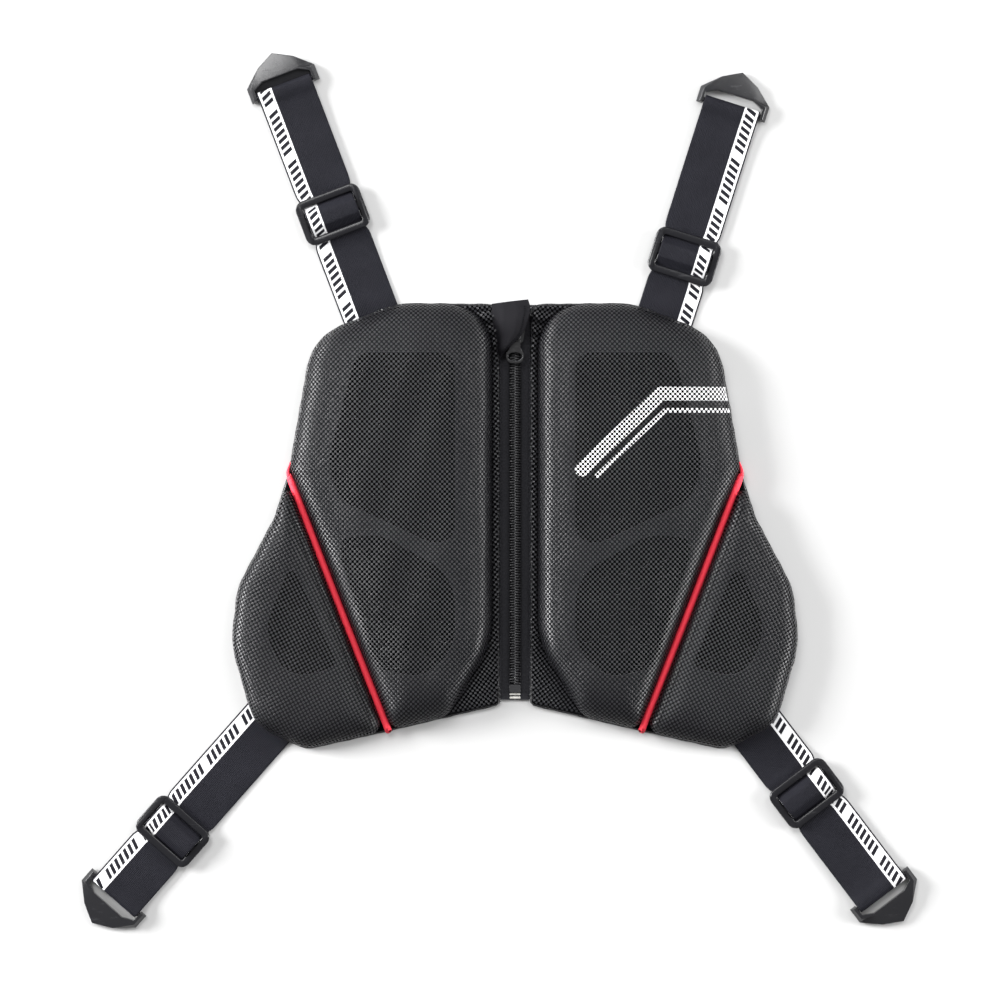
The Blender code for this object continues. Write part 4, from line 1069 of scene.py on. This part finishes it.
def platePiece(outlines, low, high, bevel):  # flat plate with holes, its edges rounded
    angles = np.radians((0, 15, 35, 60, 90))
    quarter = [(bevel * (1 - math.sin(a)), bevel * (1 - math.cos(a))) for a in angles]
    profile = [(inset, low + rise) for inset, rise in quarter]
    profile += [(inset, high - rise) for inset, rise in reversed(quarter)]
    points, faces, first, last = [], [], [], []
    for outline in outlines:
        start, count = len(points), len(outline)
        for inset, z in profile:
            points += [(x, y, z) for x, y in shrunk(outline, inset)]
        faces += [tuple(start + k for k in f) for f in gridFaces(len(profile), count, wrap=True)]
        first.append(list(range(start, start + count)))
        last.append(list(range(start + (len(profile) - 1) * count, start + len(profile) * count)))
    for rings in (first, last):
        flat = [k for ring in rings for k in ring]
        for corners in tessellate_polygon([[Vector(points[k]) for k in ring] for ring in rings]):
            faces.append(tuple(flat[k] for k in corners))
    return np.array(points), faces


dressed(refined("zip_slider", "slider_body", 0.3), metalBlack, "protector", "zip_metal", "zip_slider")
dressed(refined("zip_bottom_stop", "coil_stop", 0.4), coilBlack, "protector", "zip_coil", "zip_bottom_stop")

# pull tab: long neck, round finger hole, small window that turns on the slider's bridge
tabShape = {"length": 20.0, "neck": 7.3, "ring": 13.2, "thick": 1.2, "bar": 1.6, "bevel": 0.35,
            "windowHalf": 1.9, "windowLow": 4.6, "windowRound": 0.4,
            "holeWide": 4.7, "holeTall": 2.8, "holeUp": 4.5}


def pullTab():
    shape = tabShape
    head = zipShape["tabY"] + shape["bar"] / 2
    foot = head - shape["length"]
    neck, ring = shape["neck"] / 2, shape["ring"] / 2
    ringY = foot + 0.42 * shape["ring"]
    neckY = ringY + 0.75 * ring
    right = [(0.7 * ring, foot, 0.6 * ring), (ring, ringY, 0.7 * ring), (neck, neckY, 0.6 * ring),
             (neck, head, 0.3 * neck)]
    rows = right + [(-x, y, own) for x, y, own in reversed(right)]
    outer = roundedCorners([np.array(row[:2]) for row in rows], [row[2] for row in rows], 8)
    angles = np.linspace(0, 2 * math.pi, 40, endpoint=False)
    holeY = foot + shape["holeUp"]
    hole = np.column_stack([shape["holeWide"] * np.cos(angles), holeY + shape["holeTall"] * np.sin(angles)])
    wide, low = shape["windowHalf"], zipShape["tabY"] - shape["windowLow"]
    high = zipShape["tabY"] - shape["bar"] / 2
    window = [np.array(c) for c in [(-wide, low), (wide, low), (wide, high), (-wide, high)]]
    window = roundedCorners(window, [shape["windowRound"]] * 4, 3)
    under, over = (level["tab"] - shape["thick"] / 2) * mm, (level["tab"] + shape["thick"] / 2) * mm
    outlines = [outer * mm, hole[::-1] * mm, window[::-1] * mm]
    points, faces = platePiece(outlines, under, over, shape["bevel"] * mm)
    return turnedOut(meshPiece("zip_pull", points, faces, None, 50))


dressed(pullTab(), metalBlack, "pull_tab", "zip_metal", "pull_tab")

# two pale bar tacks under the bottom stop
tackShape = {"rows": (-112.9, -115.2), "half": 3.3, "z": 2.45, "radius": 0.42, "zigzag": 0.5, "turns": 9}
for k, y in enumerate(tackShape["rows"]):
    across = np.linspace(-tackShape["half"], tackShape["half"], 80)
    along = y + tackShape["zigzag"] * np.sin(across * tackShape["turns"])
    line = np.column_stack([across, along, np.full(80, tackShape["z"])]) * mm
    tack = meshPiece(f"bar_tack_{k}", *tube(line, tackShape["radius"] * mm, 8))
    dressed(tack, threadPale, "protector", "cloth")
print("chest protector: zip made")

# cloth flap over the slider, sewn down along its left edge; rows give the share of the length,
# the left and right edges as shares of the width and the share of the full lift
flapShape = {
    "width": 25.0, "length": 34.5, "head": 0.52, "skew": 0.08, "air": 1.2, "thick": 0.9, "ripple": 0.28,
    "rows": [(0.00, -0.61, 0.35, 0.55), (0.16, -0.60, 0.40, 0.80), (0.36, -0.57, 0.34, 1.00),
             (0.54, -0.53, 0.25, 1.00), (0.67, -0.50, 0.11, 1.00), (0.86, -0.46, -0.18, 1.05),
             (1.00, -0.43, -0.37, 0.50)],
    "arch": [(0.0, 0.0), (0.14, 0.42), (0.34, 0.95), (0.62, 1.06), (0.85, 1.02), (1.0, 0.92)],
    "gridRows": 44, "gridColumns": 32, "edge": 0.3, "flat": (0.027, 0.036),
}
flapStitch = {"grid": 60, "column": 51, "row": 54, "from": 6, "to": 12, "lift": 0.52, "pitch": 1.55,
              "radius": 0.32, "sag": 0.12, "sides": 8, "first": 0.3, "last": 0.7}


def flapGrid(rows, columns):
    table = throughPoints(flapShape["rows"], rows)
    arch = throughPoints(flapShape["arch"], 60)
    head = zipShape["sliderY"] + flapShape["head"] * flapShape["length"]
    full = level["bridgeTop"] + flapShape["air"] - level["cover"]
    grid = np.zeros((rows, columns, 3))
    for i, (down, left, right, lift) in enumerate(table):
        for j, share in enumerate(np.linspace(0, 1, columns)):
            x = (left + (right - left) * share) * flapShape["width"]
            y = head - flapShape["length"] * (down - flapShape["skew"] * share * (1 - down))
            z = level["cover"] + full * np.interp(share, arch[:, 0], arch[:, 1]) * lift
            z += flapShape["ripple"] * math.sin(share * 11 + down * 1.5) * math.sin(math.pi * share)
            grid[i, j] = (x, y, z + flapShape["thick"] / 2)
    return grid * mm


def flapMesh():
    rows, columns = flapShape["gridRows"], flapShape["gridColumns"]
    weave = [(j * 0.85 * mm, i * 0.8 * mm) for i in range(rows) for j in range(columns)]
    faces = [tuple(reversed(f)) for f in gridFaces(rows, columns)]
    return meshPiece("zip_flap_cloth", flapGrid(rows, columns).reshape(-1, 3), faces, weave)


def flapSeam():  # down near the right edge, then back along the tip
    stitch = flapStitch
    fine = flapGrid(stitch["grid"], stitch["grid"])
    places = [fine[i, stitch["column"]] for i in range(stitch["from"], stitch["row"])]
    places += [fine[stitch["row"], j] for j in range(stitch["column"] - 1, stitch["to"], -2)]
    line = np.array(places) + (0, 0, stitch["lift"] * mm)
    return seamThread("flap_stitches", line, stitch["pitch"] * mm, stitch["radius"] * mm, stitch["sag"],
                      stitch["sides"], stitch["first"], stitch["last"])


flap = flapMesh()
thicker = flap.modifiers.new("thickness", "SOLIDIFY")
thicker.thickness = flapShape["thick"] * mm
thicker.offset = 0.0
softer = flap.modifiers.new("edges", "BEVEL")
softer.width = flapShape["edge"] * mm
softer.segments = 2
softer.limit_method = "ANGLE"
softer.angle_limit = math.radians(50)
applied(flap)
dressed(flap, flapCloth, "protector", "cloth", "garage_flap")
dressed(flapSeam(), threadBlack, "protector", "cloth")
print("chest protector: flap made")

# straps: root on the body as shares, heading in degrees, ladder slider and hook as shares of the
# longest reach, the edge that has the print, and whether a dark sheet of painted shade fills the hook's
# throat
strapReach = 160.5
strapShape = {
    "width": 38.0, "thick": 1.4, "tuck": 12.0, "gap": 0.3, "climb": 8.0, "level": 1.5, "hug": 0.41,
    "edge": 0.45, "thinFrom": 17, "thinTo": 0.86, "piece": 4, "closest": 0.12,
}
straps = {
    "ul": {"side": -1, "root": (0.483, 0.944), "heading": 110.8, "ladder": 0.440, "hook": 1.000,
           "stripe": 1, "web": True},
    "ur": {"side": 1, "root": (0.506, 0.933), "heading": 72.4, "ladder": 0.259, "hook": 0.904,
           "stripe": -1, "web": False},
    "ll": {"side": -1, "root": (0.860, -0.887), "heading": 228.6, "ladder": 0.606, "hook": 0.958,
           "stripe": -1, "web": False},
    "lr": {"side": 1, "root": (0.850, -0.919), "heading": 307.2, "ladder": 0.336, "hook": 0.846,
           "stripe": 1, "web": False},
}
# slider: "window" is half its length across the strap, "windowEnd" its far side from the middle;
# the webbing is drawn in to the "squeeze" share of its width within "squeezeReach" mm of the middle
ladderShape = {"length": 31.0, "thick": 2.6, "endBar": 4.6, "half": 22.4, "window": 17.3, "windowEnd": 10.2,
               "squeeze": 0.905, "squeezeReach": 11.0, "squeezeFade": 9, "centreBar": 4.0, "round": 6.5,
               "slotRound": 1.4, "bevel": 1.05, "swell": 0.55, "z": 3.4}
hookShape = {"barRadius": 1.6, "barZ": 3.3, "shadeFrom": 3.0, "shadeTo": 9.5, "shadeHalf": 19.0, "shadeDrop": 1.6,
             "bevel": 0.45, "loopSteps": 9}


def strapRoute(strap):  # (distance from the body, height) in mm, as the webbing is threaded
    web, slider = strapShape, ladderShape
    ladder, hook = strap["ladder"] * strapReach, strap["hook"] * strapReach
    thick, off = web["thick"], web["gap"] + web["thick"] / 2
    lower, upper = thick / 2, thick * 1.5 + web["gap"]
    halfLadder, halfBar = slider["length"] / 2, slider["centreBar"] / 2
    endBar = halfLadder - slider["endBar"]
    cut, side = web["hug"] * off, halfBar + off
    under, over = slider["z"] - off, slider["z"] + slider["thick"] + off
    top = over + thick + web["gap"]
    loop = hookShape["barRadius"] + web["gap"] + thick / 2
    route = [(-web["tuck"], lower), (ladder - halfLadder - web["level"] - web["climb"], lower),
             (ladder - halfLadder - web["level"], upper), (ladder - endBar + 0.6 * thick, upper),
             (ladder - side - 1.6 * thick, top - 0.8 * thick), (ladder - side - 0.6 * thick, top),
             (ladder + side + 0.6 * thick, top), (ladder + side + 1.6 * thick, top - 0.8 * thick),
             (ladder + endBar - 0.6 * thick, upper), (ladder + halfLadder + web["level"], upper),
             (hook - 4 * loop, upper), (hook - 1.2 * loop, hookShape["barZ"] + 0.94 * loop)]
    steps = hookShape["loopSteps"]
    radius = loop / math.cos(math.pi / 2 / steps)
    for i in range(steps):
        angle = math.pi / 2 - math.pi * (i + 0.5) / steps
        route.append((hook + radius * math.cos(angle), hookShape["barZ"] + radius * math.sin(angle)))
    route += [(hook - loop, lower), (ladder + endBar, lower), (ladder + halfBar, under),
              (ladder - halfBar - cut, under), (ladder - side, slider["z"] - cut),
              (ladder - side, slider["z"] + slider["thick"] + cut), (ladder - halfBar - cut, over),
              (ladder + halfBar + cut, over), (ladder + side, slider["z"] + slider["thick"] + cut),
              (ladder + side, slider["z"] + slider["thick"] / 2)]
    return np.array(route)


def cornersCut(line, times):
    for _ in range(times):
        a, b = line[:-1], line[1:]
        middle = np.stack([0.75 * a + 0.25 * b, 0.25 * a + 0.75 * b], 1).reshape(-1, line.shape[1])
        line = np.vstack([line[:1], middle, line[-1:]])
    return line


def strapFrame(strap):
    root = bodyPoint(*strap["root"]) / mm
    root[0] *= strap["side"]
    angle = math.radians(strap["heading"])
    return root, np.array([math.cos(angle), math.sin(angle)]), np.array([-math.sin(angle), math.cos(angle)])


def onStrap(points, strap, distance):  # (along, across, height) from a place on the strap, in mm
    root, along, across = strapFrame(strap)
    points = np.asarray(points, float)
    xy = root + along * distance + points[:, :1] * along + points[:, 1:2] * across
    return np.column_stack([xy, points[:, 2]]) * mm


def strapSection():  # closed outline across the webbing, thinner near its edges
    half, thin = strapShape["width"] / 2, strapShape["thick"] / 2
    right = [18.55, 17.6, 16.5, 11.0, 5.5]
    across = right + [0.0] + [-y for y in reversed(right)]
    edge = thin * strapShape["edge"]
    top = [(y, thin * (strapShape["thinTo"] if abs(y) > strapShape["thinFrom"] else 1.0)) for y in across]
    bottom = [(-y, -z) for y, z in top]
    return top + [(-half, edge), (-half, -edge)] + bottom + [(half, -edge), (half, edge)]


def spaced(route):  # no two points closer than "closest", none farther apart than "piece"
    keep = [route[0]]
    for here in route[1:]:
        if np.linalg.norm(here - keep[-1]) > strapShape["closest"]:
            keep.append(here)
    line = [keep[0]]
    for a, b in zip(keep, keep[1:]):
        pieces = max(1, int(np.linalg.norm(b - a) / strapShape["piece"]))
        line += [a + (b - a) * k / pieces for k in range(1, pieces + 1)]
    return np.array(line)


def drawnIn(off):  # share of its width that the webbing keeps this far from the slider's middle
    far = (abs(off) - ladderShape["squeezeReach"]) / ladderShape["squeezeFade"]
    fade = 0.5 + 0.5 * math.cos(math.pi * min(1.0, max(0.0, far)))
    return 1 - (1 - ladderShape["squeeze"]) * fade


def strapWeb(tag, strap):
    route = spaced(cornersCut(strapRoute(strap), 3))
    run = np.concatenate([[0], np.cumsum(np.linalg.norm(np.diff(route, axis=0), axis=1))])
    tangent = np.gradient(route, axis=0)
    tangent /= np.linalg.norm(tangent, axis=1, keepdims=True)
    normal = np.column_stack([-tangent[:, 1], tangent[:, 0]])
    section = strapSection()
    points, weave = [], []
    for i, here in enumerate(route):
        share = drawnIn(here[0] - strap["ladder"] * strapReach)
        for y, z in section:
            d, high = here + normal[i] * z
            points.append((d, y * share, high))
            weave.append((run[i] * mm, strap["stripe"] * y * mm))
    points = onStrap(points, strap, 0.0)
    count = len(section)
    faces = gridFaces(len(route), count, wrap=True)
    faces += [tuple(range(count - 1, -1, -1)), tuple(range((len(route) - 1) * count, len(route) * count))]
    return turnedOut(meshPiece(f"strap_web_{tag}", points, faces, weave, 55))


def ladderFrame(tag, strap):
    shape = ladderShape
    half, wide = shape["length"] / 2, shape["half"]
    square = [np.array(c) for c in [(-half, -wide), (half, -wide), (half, wide), (-half, wide)]]
    outlines = [roundedCorners(square, [shape["round"]] * 4, 10) * mm]
    near, far, slot = shape["centreBar"] / 2, shape["windowEnd"], shape["window"]
    for low, high in ((near, far), (-far, -near)):
        window = [np.array(c) for c in [(low, -slot), (high, -slot), (high, slot), (low, slot)]]
        outlines.append(roundedCorners(window, [shape["slotRound"]] * 4, 5)[::-1] * mm)
    under, over = shape["z"] * mm, (shape["z"] + shape["thick"]) * mm
    points, faces = platePiece(outlines, under, over, shape["bevel"] * mm)
    points = points / mm
    ends = np.clip((np.abs(points[:, 0]) - (half - shape["endBar"])) / shape["endBar"], 0, 1)
    raised = points[:, 2] > shape["z"] + shape["thick"] / 2
    swell = shape["swell"] * np.sin(math.pi * np.clip(ends * 1.05, 0, 1))
    points[:, 2] += np.where(raised, swell, 0.0)
    points = onStrap(points, strap, strap["ladder"] * strapReach)
    return turnedOut(meshPiece(f"ladder_frame_{tag}", points, faces, None, 50))


def hookThroatShade(tag, strap):  # dark sheet inside the hook, between the webbing and its nose: painted shade in the hook's throat
    near, far, half = hookShape["shadeFrom"], hookShape["shadeTo"], hookShape["shadeHalf"]
    base = hookShape["barZ"] - hookShape["shadeDrop"]
    rows = [(near, half, 0.45), (near, half, 1.0), (near + 0.5, half + 0.3, 1.15),
            (far, half - 1.0, 1.15), (far, half - 1.0, 0.45)]
    columns = 13
    points = []
    for out, wide, high in rows:
        for share in np.linspace(-1, 1, columns):
            points.append((out, share * wide, base + high))
    last = (len(rows) - 1) * columns
    faces = gridFaces(len(rows), columns)
    faces += [(k, k + 1, last + k + 1, last + k) for k in range(columns - 1)]
    rim = [columns * k for k in range(len(rows))]
    faces += [tuple(rim), tuple(columns - 1 + k for k in reversed(rim))]
    points = onStrap(points, strap, strap["hook"] * strapReach)
    return turnedOut(meshPiece(f"hook_throat_shade_{tag}", points, faces, None, 40))


for tag, strap in straps.items():
    hookBody = f"hook_{tag}"
    dressed(strapWeb(tag, strap), strapElastic, "protector", "webbing", f"strap_{tag}")
    dressed(ladderFrame(tag, strap), hardwareBlack, "protector", "plastic", f"ladder_slider_{tag}")
    plate = refined(f"end_hook_{tag}", f"hook_plate_{tag}", hookShape["bevel"])
    dressed(plate, hookBlack, hookBody, "plastic", f"end_hook_{tag}")
    # web marks the hook whose throat gets a dark sheet of painted shade
    if strap["web"]:
        dressed(hookThroatShade(tag, strap), hardwareBlack, hookBody, "plastic")
print("chest protector: straps and hardware made")

# pale floor, white surroundings and soft lights: each light's power, place and size
studio = {
    "floor": (0.45, 0.45, 0.45), "floorPale": (0.47, 0.47, 0.47), "floorHalf": 9, "floorDrop": 0.15,
    "world": 0.35,
    "lights": {"key": (25.0, (1.3, 1.5, 2.1), 1.0), "left": (450.0, (-3.2, 0.85, 1.05), 1.5),
               "right": (200.0, (3.2, 0.2, 1.0), 1.5), "upper": (85.0, (-1.1, 1.9, 3.0), 1.5)},
}
floorMesh = bpy.data.meshes.new("floor")
floorReach = studio["floorHalf"]
floorMesh.from_pydata([(x * floorReach, y * floorReach, 0) for x, y in ((-1, -1), (1, -1), (1, 1), (-1, 1))],
                      [], [(0, 1, 2, 3)])
floor = bpy.data.objects.new("floor", floorMesh)
floor.location.z = -studio["floorDrop"] * mm
bpy.context.scene.collection.objects.link(floor)
floorFinish, floorTree, floorShader = newFinish("floorPaper", 0.9, specular=0.1)
floorCloud = noisy(floorTree, objectPlace(floorTree), 3.0)
floorColour = mixedColour(floorTree, floorCloud, studio["floor"], studio["floorPale"])
floorTree.links.new(floorColour, floorShader.inputs["Base Color"])
floorMesh.materials.append(floorFinish)

world = bpy.data.worlds.new("whiteStudio")
world.use_nodes = True
world.node_tree.nodes["Background"].inputs[0].default_value = (1.0, 1.0, 1.0, 1.0)
world.node_tree.nodes["Background"].inputs[1].default_value = studio["world"]
bpy.context.scene.world = world

for name, (power, place, size) in studio["lights"].items():
    light = bpy.data.lights.new(name, "AREA")
    light.energy = power
    light.size = size
    holder = bpy.data.objects.new(name, light)
    holder.location = place
    holder.rotation_euler = Vector(place).to_track_quat("Z", "Y").to_euler()
    bpy.context.scene.collection.objects.link(holder)
print("chest protector: studio made")
